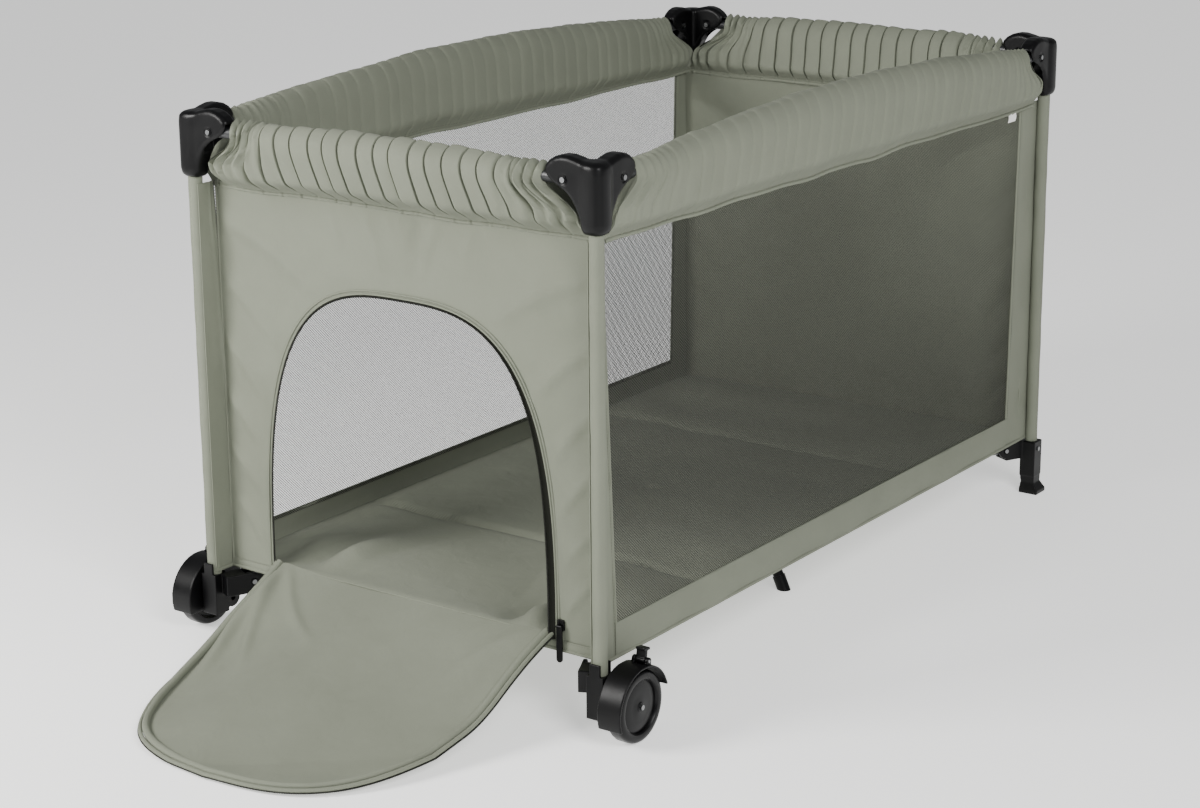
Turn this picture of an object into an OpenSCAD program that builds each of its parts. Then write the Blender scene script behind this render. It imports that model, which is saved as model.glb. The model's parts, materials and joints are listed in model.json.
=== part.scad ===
// Folding playpen: four posts, hinged top rails, an X-shaped folding base, fabric walls and a zip door.
// Axes: +X along the length away from the door end, +Y across, +Z up. Z = 0 is the floor.

/* [Frame] */
// Distance between post centres along the length
post_span_x = 1200; // [1000:10:1400]
// Distance between post centres across the width
post_span_y = 660; // [600:10:800]
// Height of the top rail pivots above the floor
rail_z = 715; // [660:5:800]
// Height of the base arm pivots above the floor
arm_z = 75; // [70:1:80]
// Outside radius of every steel tube
tube_r = 8; // [7.5:0.25:8.5]
// Wall of every steel tube
tube_wall = 1.2; // [1:0.1:2]

/* [Joints] */
// Distance from a post centre to each rail pivot
rail_pivot = 40; // [38:1:45]
// Half the distance between the two pivots of a rail lock
lock_half_gap = 30; // [28:1:34]
// Offset in X and Y from a post centre to its base arm pivot
foot_pivot = 35; // [33:1:38]
// Height of a long rail's lock above the rail pivots
lock_rise_side = 34; // [12:1:40]
// Height of an end rail's lock above the rail pivots
lock_rise_end = 12; // [10:1:30]
// Radius of every pivot pin
pin_r = 3.95; // [3:0.05:4.5]
// Radial running clearance of a pin in its eye
pin_play = 0.05; // [0.02:0.01:0.1]
// Radial clearance at the pivots that only the folding links keep in line
loose_play = 0.5; // [0.3:0.1:0.8]
// Extra radius of the round eye at a tube's end
eye_lip = 0.5; // [0.3:0.1:1]
// Side clearance of a tube in its fork
fork_play = 1; // [0.6:0.1:1.5]

/* [Corner caps] */
// Height of a corner cap from its lower tip to its crest
cap_h = 93; // [88:1:100]
// Wall of a cap wing beside the rail
cap_wall = 4; // [3:0.5:5]
// Reach of a cap wing from the post centre
cap_reach = 70; // [66:1:76]
// Wall of the cap's core around the post
core_wall = 7; // [5:0.5:9]
// Height of the cap's crest above the rail pivots
cap_rise = 30; // [28:1:32]

/* [Base] */
// Material of the centre hub outside its arm pivots
hub_edge = 14.5; // [13:0.5:18]
// Height of the centre hub
hub_h = 26; // [24:1:26]
// Distance from the hub centre to a centre leg pivot
leg_pivot = 50; // [48:1:54]
// Clearance of each centre leg from the middle plane, so that the two pass each other
leg_room = 2.5; // [2:0.25:3]
// Distance from the pen's long axis to a centre leg's foot
leg_foot_y = 238; // [200:1:260]
// Distance over which a centre leg slants outwards
leg_splay = 34; // [10:1:50]
// Height of the foot and wheel bracket blocks
block_top = 88; // [86:1:88]
// Wall of the foot and wheel bracket blocks around the post
block_wall = 5; // [4.5:0.5:7]
// Height of the underside of the wheel bracket block
block_bottom = 30; // [26:1:32]

/* [Wheels] */
// Wheel radius
wheel_r = 47.5; // [42:0.5:50]
// Wheel width
wheel_w = 24; // [20:1:28]
// Distance from the post centre out to the wheel's middle plane
wheel_out = 37; // [36:1:42]
// Distance from the post centre inwards along the pen to the axle
wheel_in = 21; // [16:1:24]
// Clearance between wheel and fender
fender_gap = 4; // [3:0.5:5]
// Wall of the fender
fender_wall = 3; // [2.5:0.5:4]
// Distance from the axle inwards along the pen to the brake lever's pin
brake_in = 16; // [12:1:20]
// Smallest gap between the pressed brake shoe and the wheel
brake_gap = 0.4; // [0.3:0.1:1]

/* [Fabric] */
// Thickness of a fabric wall
wall_t = 3; // [2:0.5:4]
// Height of the lower edge of the walls
wall_bottom = 91; // [89:1:95]
// Thickness of the fabric sleeve around a post
sleeve_t = 1.2; // [1:0.1:2]
// Half width of a padded rail cover
cover_half = 25; // [23:1:30]
// Height of a rail cover above the rail pivots at the posts
cover_up = 16; // [15:1:24]
// Extra height of a rail cover at the middle of a long rail
cover_bow_side = 30; // [10:1:40]
// Extra height of a rail cover at the middle of an end rail
cover_bow_end = 8; // [6:1:30]
// Drop of the rail covers below the rail pivots
cover_drop = 80; // [70:1:100]
// Thickness of the padding over a rail
cover_pad = 6; // [4:0.5:6]
// Distance from the post centres inwards to the end walls
end_wall_in = 28; // [24:1:32]

/* [Door] */
// Half width of the door opening
door_half = 242; // [200:1:250]
// Height of the door opening
door_h = 414; // [350:1:430]
// Height of the door's threshold
door_sill = 106; // [104:1:120]
// Roundness of the door arch, 2 for an ellipse and more for squarer
door_power = 3; // [2:0.1:4]
// Clearance between the door flap and the opening
door_gap = 2; // [1:0.5:4]

/* [Mattress] */
// Mattress thickness
pad_t = 20; // [15:1:40]
// Clearance between the mattress and the walls
pad_gap = 4; // [2:0.5:10]

/* [Hidden] */
$fn = 48;

px = post_span_x / 2;
py = post_span_y / 2;
eye_r = tube_r + eye_lip;
cap_core_r = tube_r + core_wall;
cap_crest = rail_z + cap_rise;
cap_bottom = cap_crest - cap_h;
post_bottom = arm_z - 15;
post_top = rail_z - 10;
half_x = px - rail_pivot - lock_half_gap;
half_y = py - rail_pivot - lock_half_gap;
arm_len = norm([half_x, half_y]);
arm_angle = atan2(half_y, half_x);
hub_pivot = rail_pivot + lock_half_gap - foot_pivot;
hub_r = hub_pivot * sqrt(2) + hub_edge;
hub_bore_r = 10;
leg_side = tube_r + leg_room;
block_half = tube_r + block_wall;
fork_gap = 2 * (tube_r + fork_play);
fork_w = fork_gap + 2 * cap_wall;
eye_w = 2 * tube_r;
eye_bore = pin_r + pin_play;
loose_bore = pin_r + loose_play;
neck_r = tube_r - tube_wall / 2;
slot_room = 2.5;
leg_eye_w = 10;
leg_neck = hub_r - leg_pivot + 6;
leg_pin_r = pin_r - 1;
leg_tip_r = tube_r + 1.5;
leg_tip_h = 32;
axle_boss_r = 14;
// A cut of this size runs out past any of the fittings.
past = 80;
screw_r = 2;
button_l = 20;
button_w = 12;
screw_head_r = 4.5;
screw_head_h = 1.6;
side_wall_in = tube_r + sleeve_t + 0.3;
hinge_x = -px + end_wall_in;
hinge_z = door_sill + 1;
flap_len = door_h - door_gap;
flap_tilt = asin(hinge_z / flap_len);
foot_half = block_half + 6;
foot_plate = 6;
screw_z = rail_z - 22;
fender_r = wheel_r + fender_gap + fender_wall;
brake_up = sqrt(fender_r * fender_r - brake_in * brake_in) + 4;
shoe_len = norm([brake_in, brake_up]) - wheel_r - brake_gap;
// The pen's own middle lies off the origin, because the open door reaches past the door end.
reach_back = -hinge_x + flap_len * cos(flap_tilt) + wall_t * sin(flap_tilt);
reach_front = px + max(foot_half, cover_half);
pad_x = px - end_wall_in - wall_t - pad_gap;
pad_y = py - cover_half - 5;
mid_x = (reach_back - reach_front) / 2;

SAGE = "#8c907e";
BLACK = "#1d1d1e";
STEEL = "#b9bcc0";
DARK_TUBE = "#26272a";

// ---- placing ----

// Moves a corner drawn at the origin, with the pen inwards along +X and +Y, to one of the four posts.
module corner(sx, sy) {
  translate([mid_x + sx * px, sy * py, 0])
    mirror([sx > 0 ? 1 : 0, 0, 0])
      mirror([0, sy > 0 ? 1 : 0, 0])
        children();
}

// Turns a rail drawn along +X so that it runs along +Y, when it belongs to an end of the pen.
module rail_side(end) {
  multmatrix(end ? [[0, 1, 0, 0], [1, 0, 0, 0], [0, 0, 1, 0]] : [[1, 0, 0, 0], [0, 1, 0, 0], [0, 0, 1, 0]])
    children();
}

// A cylinder along Y, centred on the origin.
module bar_y(r, len) {
  rotate([90, 0, 0])
    cylinder(r = r, h = len, center = true);
}

// A cylinder along X, starting at the origin.
module bar_x(r, len) {
  rotate([0, 90, 0])
    cylinder(r = r, h = len);
}

// A steel tube along X between two eyes, whose bores are along Y.
module link_tube(len, bore_a, bore_b) {
  difference() {
    union() {
      difference() {
        translate([eye_r + 1, 0, 0])
          bar_x(tube_r, len - 2 * eye_r - 2);
        translate([eye_r + 8, 0, 0])
          bar_x(tube_r - tube_wall, len - 2 * eye_r - 16);
      }
      bar_x(neck_r, eye_r + 9);
      translate([len - eye_r - 9, 0, 0])
        bar_x(neck_r, eye_r + 9);
      bar_y(eye_r, eye_w);
      translate([len, 0, 0])
        bar_y(eye_r, eye_w);
    }
    bar_y(bore_a, eye_w + 2);
    translate([len, 0, 0])
      bar_y(bore_b, eye_w + 2);
  }
}

// A pivot rivet along Y with a flat head on each side of a fork.
module rivet(width) {
  bar_y(pin_r, width);
  for (side = [-1, 1])
    translate([0, side * (width + screw_head_h) / 2, 0])
      bar_y(screw_head_r + 1, screw_head_h);
}

// ---- posts and their fittings ----

module post(sx, sy) {
  color(STEEL)
    corner(sx, sy)
      translate([0, 0, post_bottom])
        difference() {
          cylinder(r = tube_r, h = post_top - post_bottom);
          translate([0, 0, -1])
            cylinder(r = tube_r - tube_wall, h = post_top - post_bottom + 2);
        }
}

// Side outline of one cap wing: distance from the post centre, then height.
module wing_outline() {
  polygon([
    [-8, cap_bottom + 4],
    [0, cap_bottom],
    [cap_core_r - 4, cap_bottom],
    [cap_core_r + 1, cap_bottom + 14],
    [cap_core_r + 9, cap_bottom + 31],
    [rail_pivot - 1, cap_bottom + 46],
    [cap_reach - 14, cap_bottom + 54],
    [cap_reach - 2, rail_z + 1],
    [cap_reach, rail_z + 8],
    [cap_reach - 3, rail_z + 15],
    [cap_reach - 12, cap_crest - 6],
    [cap_reach - 24, cap_crest - 1],
    [cap_reach - 34, cap_crest],
    [cap_reach - 46, cap_crest - 3],
    [10, cap_crest - 8],
    [-4, cap_crest - 10],
    [-8, cap_crest - 14]
  ]);
}

module corner_cap(sx, sy) {
  color(BLACK)
    corner(sx, sy)
      corner_cap_shape();
}

module corner_cap_shape() {
  taper = 12;
  difference() {
    union() {
      for (end = [false, true])
        rail_side(end)
          rotate([90, 0, 0])
            translate([0, 0, -fork_w / 2])
              linear_extrude(fork_w)
                wing_outline();
      translate([0, 0, cap_bottom])
        cylinder(r1 = cap_core_r - 3, r2 = cap_core_r, h = taper);
      translate([0, 0, cap_bottom + taper])
        cylinder(r = cap_core_r, h = cap_h - 2 * taper);
      translate([0, 0, cap_crest - taper])
        cylinder(r1 = cap_core_r, r2 = cap_core_r - 6, h = taper / 3);
    }
    translate([0, 0, cap_bottom - 1])
      cylinder(r = tube_r + pin_play, h = post_top + 0.1 - cap_bottom + 1);
    for (end = [false, true])
      rail_side(end) {
        translate([rail_pivot - eye_r - 3, -fork_gap / 2, cap_bottom - 1])
          cube([cap_reach, fork_gap, rail_z + eye_r + 3 - cap_bottom + 1]);
        translate([rail_pivot, 0, rail_z])
          bar_y(eye_bore, fork_w + 2);
      }
    translate([0, 0, screw_z])
      rotate([90, 0, -45])
        translate([0, 0, cap_core_r - 5])
          cylinder(r = screw_r + pin_play, h = 10);
  }
}

// Holes for the base arm pivot and the post screw, shared by both lower fittings.
module block_cuts() {
  translate([0, 0, post_bottom])
    cylinder(r = tube_r + pin_play, h = past);
  translate([foot_pivot, foot_pivot, 0])
    rotate([0, 0, arm_angle]) {
      translate([-eye_r - slot_room, -fork_gap / 2, arm_z - eye_r - slot_room])
        cube([past, fork_gap, past]);
      translate([0, 0, arm_z])
        bar_y(eye_bore, past);
    }
  translate([0, -block_half, arm_z])
    bar_y(screw_r + pin_play, 2 * (block_half - tube_r));
}

// The two plates that carry a base arm's pivot, joined to the block around the post.
module arm_fork(low) {
  back = foot_pivot * 1.15;
  translate([foot_pivot, foot_pivot, 0])
    rotate([0, 0, arm_angle]) {
      translate([0, 0, arm_z])
        bar_y(eye_r + 4, fork_w + 2);
      translate([-back, -fork_w / 2 - 1, low])
        cube([back, fork_w + 2, block_top - low]);
    }
}

// The foot's column narrows to a waist, then flares out to a plate on the floor.
module foot(sy) {
  wide = 2 * block_half;
  plate = foot_half + block_half;
  waist_z = 18;
  color(BLACK)
    corner(1, sy)
      difference() {
        union() {
          translate([-block_half, -block_half, block_bottom])
            cube([wide, wide, block_top - block_bottom]);
          hull() {
            translate([-block_half, -block_half, block_bottom + 10])
              cube([wide, wide, 1]);
            translate([-block_half + 1, -block_half + 1, waist_z])
              cube([wide - 3, wide - 3, 1]);
          }
          hull() {
            translate([-block_half + 1, -block_half + 1, waist_z])
              cube([wide - 3, wide - 3, 1]);
            translate([-foot_half, -foot_half, foot_plate - 1])
              cube([plate, plate, 1]);
          }
          translate([-foot_half, -foot_half, 0])
            cube([plate, plate, foot_plate]);
          arm_fork(arm_z - eye_r - 8);
        }
        block_cuts();
      }
}

// The fender is drawn about the axle, with Y across the wheel and the open side at -Y.
module fender_shape() {
  depth = wheel_w + 2 * fender_gap + fender_wall;
  rotate([90, 0, 0])
    translate([0, 0, -wheel_w / 2 - fender_gap - fender_wall])
      difference() {
        cylinder(r = fender_r, h = depth, $fn = 96);
        translate([0, 0, fender_wall])
          cylinder(r = fender_r - fender_wall, h = depth, $fn = 96);
        // The wheel shows below the fender, and all the way up at the inward side.
        translate([-2 * wheel_r, -2 * wheel_r - 18, -1])
          cube([4 * wheel_r, 2 * wheel_r, 2 * depth]);
        translate([14, 15 - 2 * wheel_r, -1])
          cube([2 * wheel_r, 2 * wheel_r, 2 * depth]);
        // Slot for the brake shoe
        translate([brake_in - 8, 30, depth / 2 - 6])
          cube([14, 40, 15]);
      }
}

// The block around the post carries the fender, the axle's boss, the brake's two ears and the post's ears.
module wheel_bracket(sy) {
  inner = wheel_out - wheel_w / 2 - fender_gap;
  ear_t = 3.2;
  color(BLACK)
    corner(-1, sy)
      difference() {
        union() {
          translate([-block_half, -block_half, block_bottom])
            cube([2 * block_half, 2 * block_half, block_top - block_bottom]);
          for (side = [-1, 1])
            translate([side * (block_half - ear_t / 2) - ear_t / 2, -8, block_top - 1])
              cube([ear_t, 16, 17]);
          translate([wheel_in, -wheel_out, wheel_r])
            fender_shape();
          translate([wheel_in, -inner - 1, wheel_r])
            rotate([-90, 0, 0])
              cylinder(r = axle_boss_r, h = inner + block_half + 1);
          for (side = [-1, 1])
            translate([wheel_in + brake_in, -wheel_out + side * 10, wheel_r + brake_up])
              bar_y(5, 5);
          arm_fork(arm_z - eye_r - 8);
        }
        block_cuts();
        translate([wheel_in, 0, wheel_r])
          bar_y(pin_r + pin_play, 4 * wheel_out);
        translate([wheel_in + brake_in, -wheel_out, wheel_r + brake_up])
          bar_y(screw_r + pin_play, past);
      }
}

module fasteners(sx, sy) {
  color(STEEL)
    corner(sx, sy) {
      for (end = [false, true])
        rail_side(end)
          translate([rail_pivot, 0, rail_z])
            rivet(fork_w);
      translate([foot_pivot, foot_pivot, arm_z])
        rotate([0, 0, arm_angle])
          rivet(fork_w + 2);
      translate([0, -block_half - screw_head_h / 2, arm_z])
        bar_y(screw_head_r, screw_head_h);
      translate([0, -(block_half + tube_r + 1) / 2, arm_z])
        bar_y(screw_r, block_wall - 1);
      rotate([0, 0, -45])
        translate([0, -cap_core_r - 0.6, screw_z])
          bar_y(screw_head_r - 1, 1.2);
      rotate([0, 0, -45])
        translate([0, -cap_core_r + 2, screw_z])
          bar_y(screw_r, 4);
      if (sx < 0) {
        translate([wheel_in, -wheel_out / 2 - wheel_w / 4, wheel_r])
          bar_y(pin_r, wheel_out + wheel_w / 2);
        translate([wheel_in, -wheel_out - wheel_w / 2 - 0.9, wheel_r])
          bar_y(screw_head_r + 1, 1);
        translate([wheel_in + brake_in, -wheel_out, wheel_r + brake_up])
          bar_y(screw_r, 25);
      }
    }
}

// ---- walls ----

// The upper half of a squared ellipse, from right to left.
function arch(half, h, n = 48) = [
  for (i = [0 : n])
    let (a = 180 * i / n, c = cos(a), s = sin(a))
      [half * sign(c) * pow(abs(c), 2 / door_power), h * pow(abs(s), 2 / door_power)]
];

module walls(sx, sy) {
  gap = 0.5;
  top = rail_z - cover_drop - 2;
  color(SAGE)
    corner(sx, sy) {
      translate([0, 0, block_top + 3])
        difference() {
          cylinder(r = tube_r + sleeve_t, h = cap_bottom - block_top - 3.5);
          translate([0, 0, -1])
            cylinder(r = tube_r + pin_play, h = rail_z);
        }
      // The side wall starts beside the post.
      translate([-tube_r, side_wall_in, wall_bottom])
        cube([px + tube_r - gap, wall_t, top - wall_bottom]);
      difference() {
        translate([end_wall_in, side_wall_in + wall_t + 0.4, wall_bottom])
          cube([wall_t, py - side_wall_in - wall_t - 0.4 - gap, top - wall_bottom]);
        if (sx < 0)
          translate([end_wall_in - 1, py, door_sill])
            rotate([90, 0, 90])
              linear_extrude(wall_t + 2)
                polygon(arch(door_half, door_h));
      }
    }
}

// ---- top rails ----

module rail(sx, sy, end, loose) {
  len = end ? half_y : half_x;
  color(STEEL)
    corner(sx, sy)
      rail_side(end)
        translate([rail_pivot, 0, rail_z])
          link_tube(len, eye_bore, loose ? loose_bore : eye_bore);
}

// Side outline of half a rail cover, from the post centre to the rail's middle.
module cover_outline(mid, up, bow, drop, lift) {
  edge = cap_reach + 3;
  start = cover_half + 0.5;
  tip = rail_z - cap_bottom;
  n = 8;
  polygon(concat(
    [
      [start, -drop],
      [start, -tip + 24],
      [rail_pivot - 3, -tip + 38],
      [cap_reach - 14, -tip + 47],
      [edge, -8],
      [edge, up - lift]
    ],
    [for (i = [1 : n]) [edge + (mid - edge) * i / n, up - lift + bow * sin(90 * i / n)]],
    [[mid, -drop]]
  ));
}

module cover(sx, sy, end) {
  mid = (end ? py : px) - 0.5;
  bow = end ? cover_bow_end : cover_bow_side;
  drop = cover_drop;
  inner = fork_w / 2 + 1.5;
  color(SAGE)
    corner(sx, sy)
      rail_side(end)
        translate([0, 0, rail_z])
          rotate([90, 0, 0])
            difference() {
              translate([0, 0, -cover_half])
                linear_extrude(2 * cover_half)
                  cover_outline(mid, cover_up, bow, drop, 0);
              translate([0, 0, -inner])
                linear_extrude(2 * inner)
                  translate([-2, 0])
                    union() {
                      cover_outline(mid + 5, cover_up, bow, drop + 5, cover_pad);
                      translate([0, -drop - 5])
                        square([mid + 5, drop - 15]);
                    }
            }
}

module lock(side) {
  end = side == "door" || side == "far";
  color(BLACK)
    at_lock(side)
      lock_shape(end ? lock_rise_end : lock_rise_side);
}

module lock_button(side) {
  color(BLACK)
    at_lock(side)
      lock_button_shape();
}

// A rail lock is drawn about the middle of its rail, with the rail along X.
module lock_shape(rise) {
  reach = lock_half_gap + eye_r + 7;
  floor_z = -eye_r - 5;
  difference() {
    union() {
      difference() {
        rotate([90, 0, 0])
          translate([0, 0, -fork_w / 2])
            linear_extrude(fork_w)
              polygon(concat(
                [[-reach, floor_z], [reach, floor_z]],
                [for (i = [0 : 8]) [reach * cos(22.5 * i), 8 + (rise - 8) * sin(22.5 * i)]]
              ));
        for (side = [-1, 1])
          translate([side > 0 ? 16 : -reach - 1, -fork_gap / 2, floor_z + 4])
            cube([reach - 15, fork_gap, past]);
      }
      for (side = [-1, 1])
        translate([side * lock_half_gap, 0, 0])
          bar_y(pin_r, fork_w);
    }
    translate([-button_l / 2 - 0.3, -button_w / 2 - 0.3, floor_z - 1])
      cube([button_l + 0.6, button_w + 0.6, 21]);
  }
}

module lock_button_shape() {
  floor_z = -eye_r - 5;
  translate([-button_l / 2, -button_w / 2, floor_z - 6])
    cube([button_l, button_w, 20]);
  translate([3 - button_l / 2, 2 - button_w / 2, floor_z - 7])
    cube([button_l - 6, button_w - 4, 1.5]);
}

module at_lock(side) {
  end = side == "door" || side == "far";
  x = side == "door" ? -px : side == "far" ? px : 0;
  y = side == "front" ? -py : side == "back" ? py : 0;
  translate([mid_x + x, y, rail_z])
    rotate([0, 0, end ? 90 : 0])
      children();
}

// ---- folding base ----

module base_hub() {
  leg_slot = leg_eye_w + 1.5;
  color(BLACK)
    translate([mid_x, 0, arm_z])
      difference() {
        union() {
          difference() {
            cylinder(r = hub_r, h = hub_h, center = true, $fn = 96);
            for (sx = [-1, 1], sy = [-1, 1])
              translate([sx * hub_pivot, sy * hub_pivot, 0])
                rotate([0, 0, atan2(sy * half_y, sx * half_x)])
                  translate([-eye_r - slot_room, -fork_gap / 2, -hub_h])
                    cube([past, fork_gap, hub_h + eye_r + 2]);
            for (s = [-1, 1])
              mirror([0, s > 0 ? 0 : 1, 0])
                translate([s * leg_side - leg_slot / 2, leg_pivot - eye_r - slot_room, -hub_h])
                  cube([leg_slot, past, hub_h + eye_r + 2]);
          }
          for (sx = [-1, 1], sy = [-1, 1])
            translate([sx * hub_pivot, sy * hub_pivot, 0])
              rotate([0, 0, atan2(sy * half_y, sx * half_x)])
                bar_y(pin_r, fork_gap + 4);
          for (s = [-1, 1])
            translate([s * leg_side, s * leg_pivot, 0])
              bar_x_centred(leg_pin_r, leg_eye_w + 4);
        }
        cylinder(r = hub_bore_r, h = 2 * hub_h, center = true);
      }
}

// A cylinder along X, centred on the origin.
module bar_x_centred(r, len) {
  rotate([0, 90, 0])
    cylinder(r = r, h = len, center = true);
}

module arm(sx, sy) {
  color(DARK_TUBE)
    corner(sx, sy)
      translate([foot_pivot, foot_pivot, arm_z])
        rotate([0, 0, arm_angle])
          link_tube(arm_len, eye_bore, eye_bore);
}

// The front centre leg runs out from the hub, then slants down to the floor.
module centre_leg_shape() {
  run = leg_foot_y - leg_splay - leg_pivot;
  slant = atan2(leg_splay, arm_z);
  slant_len = norm([leg_splay, arm_z]) + 10;
  difference() {
    union() {
      bar_x_centred(eye_r, leg_eye_w);
      translate([-leg_eye_w / 2, -leg_neck - 4, -neck_r + 1])
        cube([leg_eye_w, leg_neck + 4, 2 * neck_r - 2]);
      translate([0, -leg_neck, 0])
        rotate([90, 0, 0])
          cylinder(r = tube_r, h = run - leg_neck);
      translate([0, -run, 0])
        sphere(r = tube_r + 0.5);
      translate([0, -run, 0])
        rotate([-slant, 0, 0])
          translate([0, 0, -slant_len]) {
            cylinder(r = tube_r, h = slant_len);
            cylinder(r = leg_tip_r, h = leg_tip_h);
          }
    }
    translate([-past, -run - past, -arm_z - past])
      cube([2 * past, 2 * past, past]);
    bar_x_centred(leg_pin_r + pin_play, leg_eye_w + 2);
  }
}

module centre_leg(s) {
  color(DARK_TUBE)
    translate([mid_x, 0, arm_z])
      mirror([s > 0 ? 1 : 0, 0, 0])
        mirror([0, s > 0 ? 1 : 0, 0])
          translate([-leg_side, -leg_pivot, 0])
            centre_leg_shape();
}

// ---- wheels and brakes ----

module wheel_shape() {
  h = wheel_w / 2;
  rotate([90, 0, 0])
    rotate_extrude($fn = 96)
      polygon([
        [pin_r + pin_play, -h + 1],
        [12, -h + 1],
        [14, -h + 4],
        [wheel_r - 13, -h + 4],
        [wheel_r - 10, -h],
        [wheel_r - 3, -h],
        [wheel_r, -h + 3],
        [wheel_r, h - 3],
        [wheel_r - 3, h],
        [wheel_r - 10, h],
        [wheel_r - 13, h - 3],
        [12, h - 3],
        [10, h - 0.5],
        [pin_r + pin_play, h - 0.5]
      ]);
}

module wheel(s) {
  color(BLACK)
    corner(-1, s)
      translate([wheel_in, -wheel_out, wheel_r])
        wheel_shape();
}

// The lever turns on a pin above the fender; its shoe comes down through the fender's slot.
module brake_lever(s) {
  color(BLACK)
    corner(-1, s)
      translate([wheel_in + brake_in, -wheel_out, wheel_r + brake_up])
        difference() {
          union() {
            bar_y(4.2, 14);
            rotate([0, 8, 0])
              translate([-2.5, -7, 0])
                cube([5, 14, 16]);
            rotate([0, 8, 0])
              translate([-4.5, -7, 13])
                cube([12, 14, 3.5]);
            rotate([0, -8, 0])
              translate([-2.5, -6, -sqrt(shoe_len * shoe_len - 6.25)])
                cube([5, 12, 8]);
          }
          bar_y(screw_r + pin_play, 20);
        }
}

// ---- mattress and door ----

module mattress() {
  color(SAGE)
    translate([mid_x, 0, block_top + 2])
      linear_extrude(pad_t)
        offset(r = 12)
          square([2 * pad_x - 24, 2 * pad_y - 24], center = true);
}

module door_flap() {
  color(SAGE)
    translate([mid_x + hinge_x, 0, hinge_z])
      rotate([0, -90 - flap_tilt, 0])
        rotate([90, 0, 90])
          linear_extrude(wall_t)
            polygon(arch(door_half - door_gap, flap_len));
}

module zip_slider() {
  color(BLACK)
    translate([mid_x + hinge_x, -door_half - 9, hinge_z + 20])
      difference() {
        translate([-4.2, -5, -6])
          cube([4, 10, 14]);
        translate([-4.5, -1.5, -10])
          cube([1.8, 3, 30]);
      }
}

module zip_pull() {
  color(BLACK)
    translate([mid_x + hinge_x - 6.4, -door_half - 9, hinge_z + 20])
      difference() {
        union() {
          bar_y(2, 9);
          translate([-1.5, -4.5, -44])
            cube([3, 9, 44]);
          translate([0, 0, -44])
            rotate([0, 90, 0])
              cylinder(r = 4.5, h = 3, center = true);
        }
        bar_y(0.8, 12);
      }
}

// ---- nodes ----

post(-1, -1);  // front_left_post
post(-1, 1);  // back_left_post
post(1, -1);  // front_right_post
post(1, 1);  // back_right_post
corner_cap(-1, -1);  // front_left_corner_cap
corner_cap(-1, 1);  // back_left_corner_cap
corner_cap(1, -1);  // front_right_corner_cap
corner_cap(1, 1);  // back_right_corner_cap
wheel_bracket(-1);  // front_wheel_bracket
wheel_bracket(1);  // back_wheel_bracket
foot(-1);  // front_foot
foot(1);  // back_foot
fasteners(-1, -1);  // front_left_fasteners
fasteners(-1, 1);  // back_left_fasteners
fasteners(1, -1);  // front_right_fasteners
fasteners(1, 1);  // back_right_fasteners
walls(-1, -1);  // front_left_walls
walls(-1, 1);  // back_left_walls
walls(1, -1);  // front_right_walls
walls(1, 1);  // back_right_walls
rail(-1, -1, false, false);  // front_rail_left
rail(1, -1, false, true);  // front_rail_right
rail(-1, 1, false, false);  // back_rail_left
rail(1, 1, false, true);  // back_rail_right
rail(-1, -1, true, false);  // door_rail_front
rail(-1, 1, true, true);  // door_rail_back
rail(1, -1, true, false);  // far_rail_front
rail(1, 1, true, true);  // far_rail_back
cover(-1, -1, false);  // front_cover_left
cover(1, -1, false);  // front_cover_right
cover(-1, 1, false);  // back_cover_left
cover(1, 1, false);  // back_cover_right
cover(-1, -1, true);  // door_cover_front
cover(-1, 1, true);  // door_cover_back
cover(1, -1, true);  // far_cover_front
cover(1, 1, true);  // far_cover_back
lock("front");  // front_lock
lock("back");  // back_lock
lock("door");  // door_lock
lock("far");  // far_lock
lock_button("front");  // front_lock_button
lock_button("back");  // back_lock_button
lock_button("door");  // door_lock_button
lock_button("far");  // far_lock_button
base_hub();
arm(-1, -1);  // front_left_arm
arm(-1, 1);  // back_left_arm
arm(1, -1);  // front_right_arm
arm(1, 1);  // back_right_arm
centre_leg(-1);  // front_centre_leg
centre_leg(1);  // back_centre_leg
wheel(-1);  // front_wheel
wheel(1);  // back_wheel
brake_lever(-1);  // front_brake_lever
brake_lever(1);  // back_brake_lever
mattress();
door_flap();
zip_slider();
zip_pull();
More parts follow.
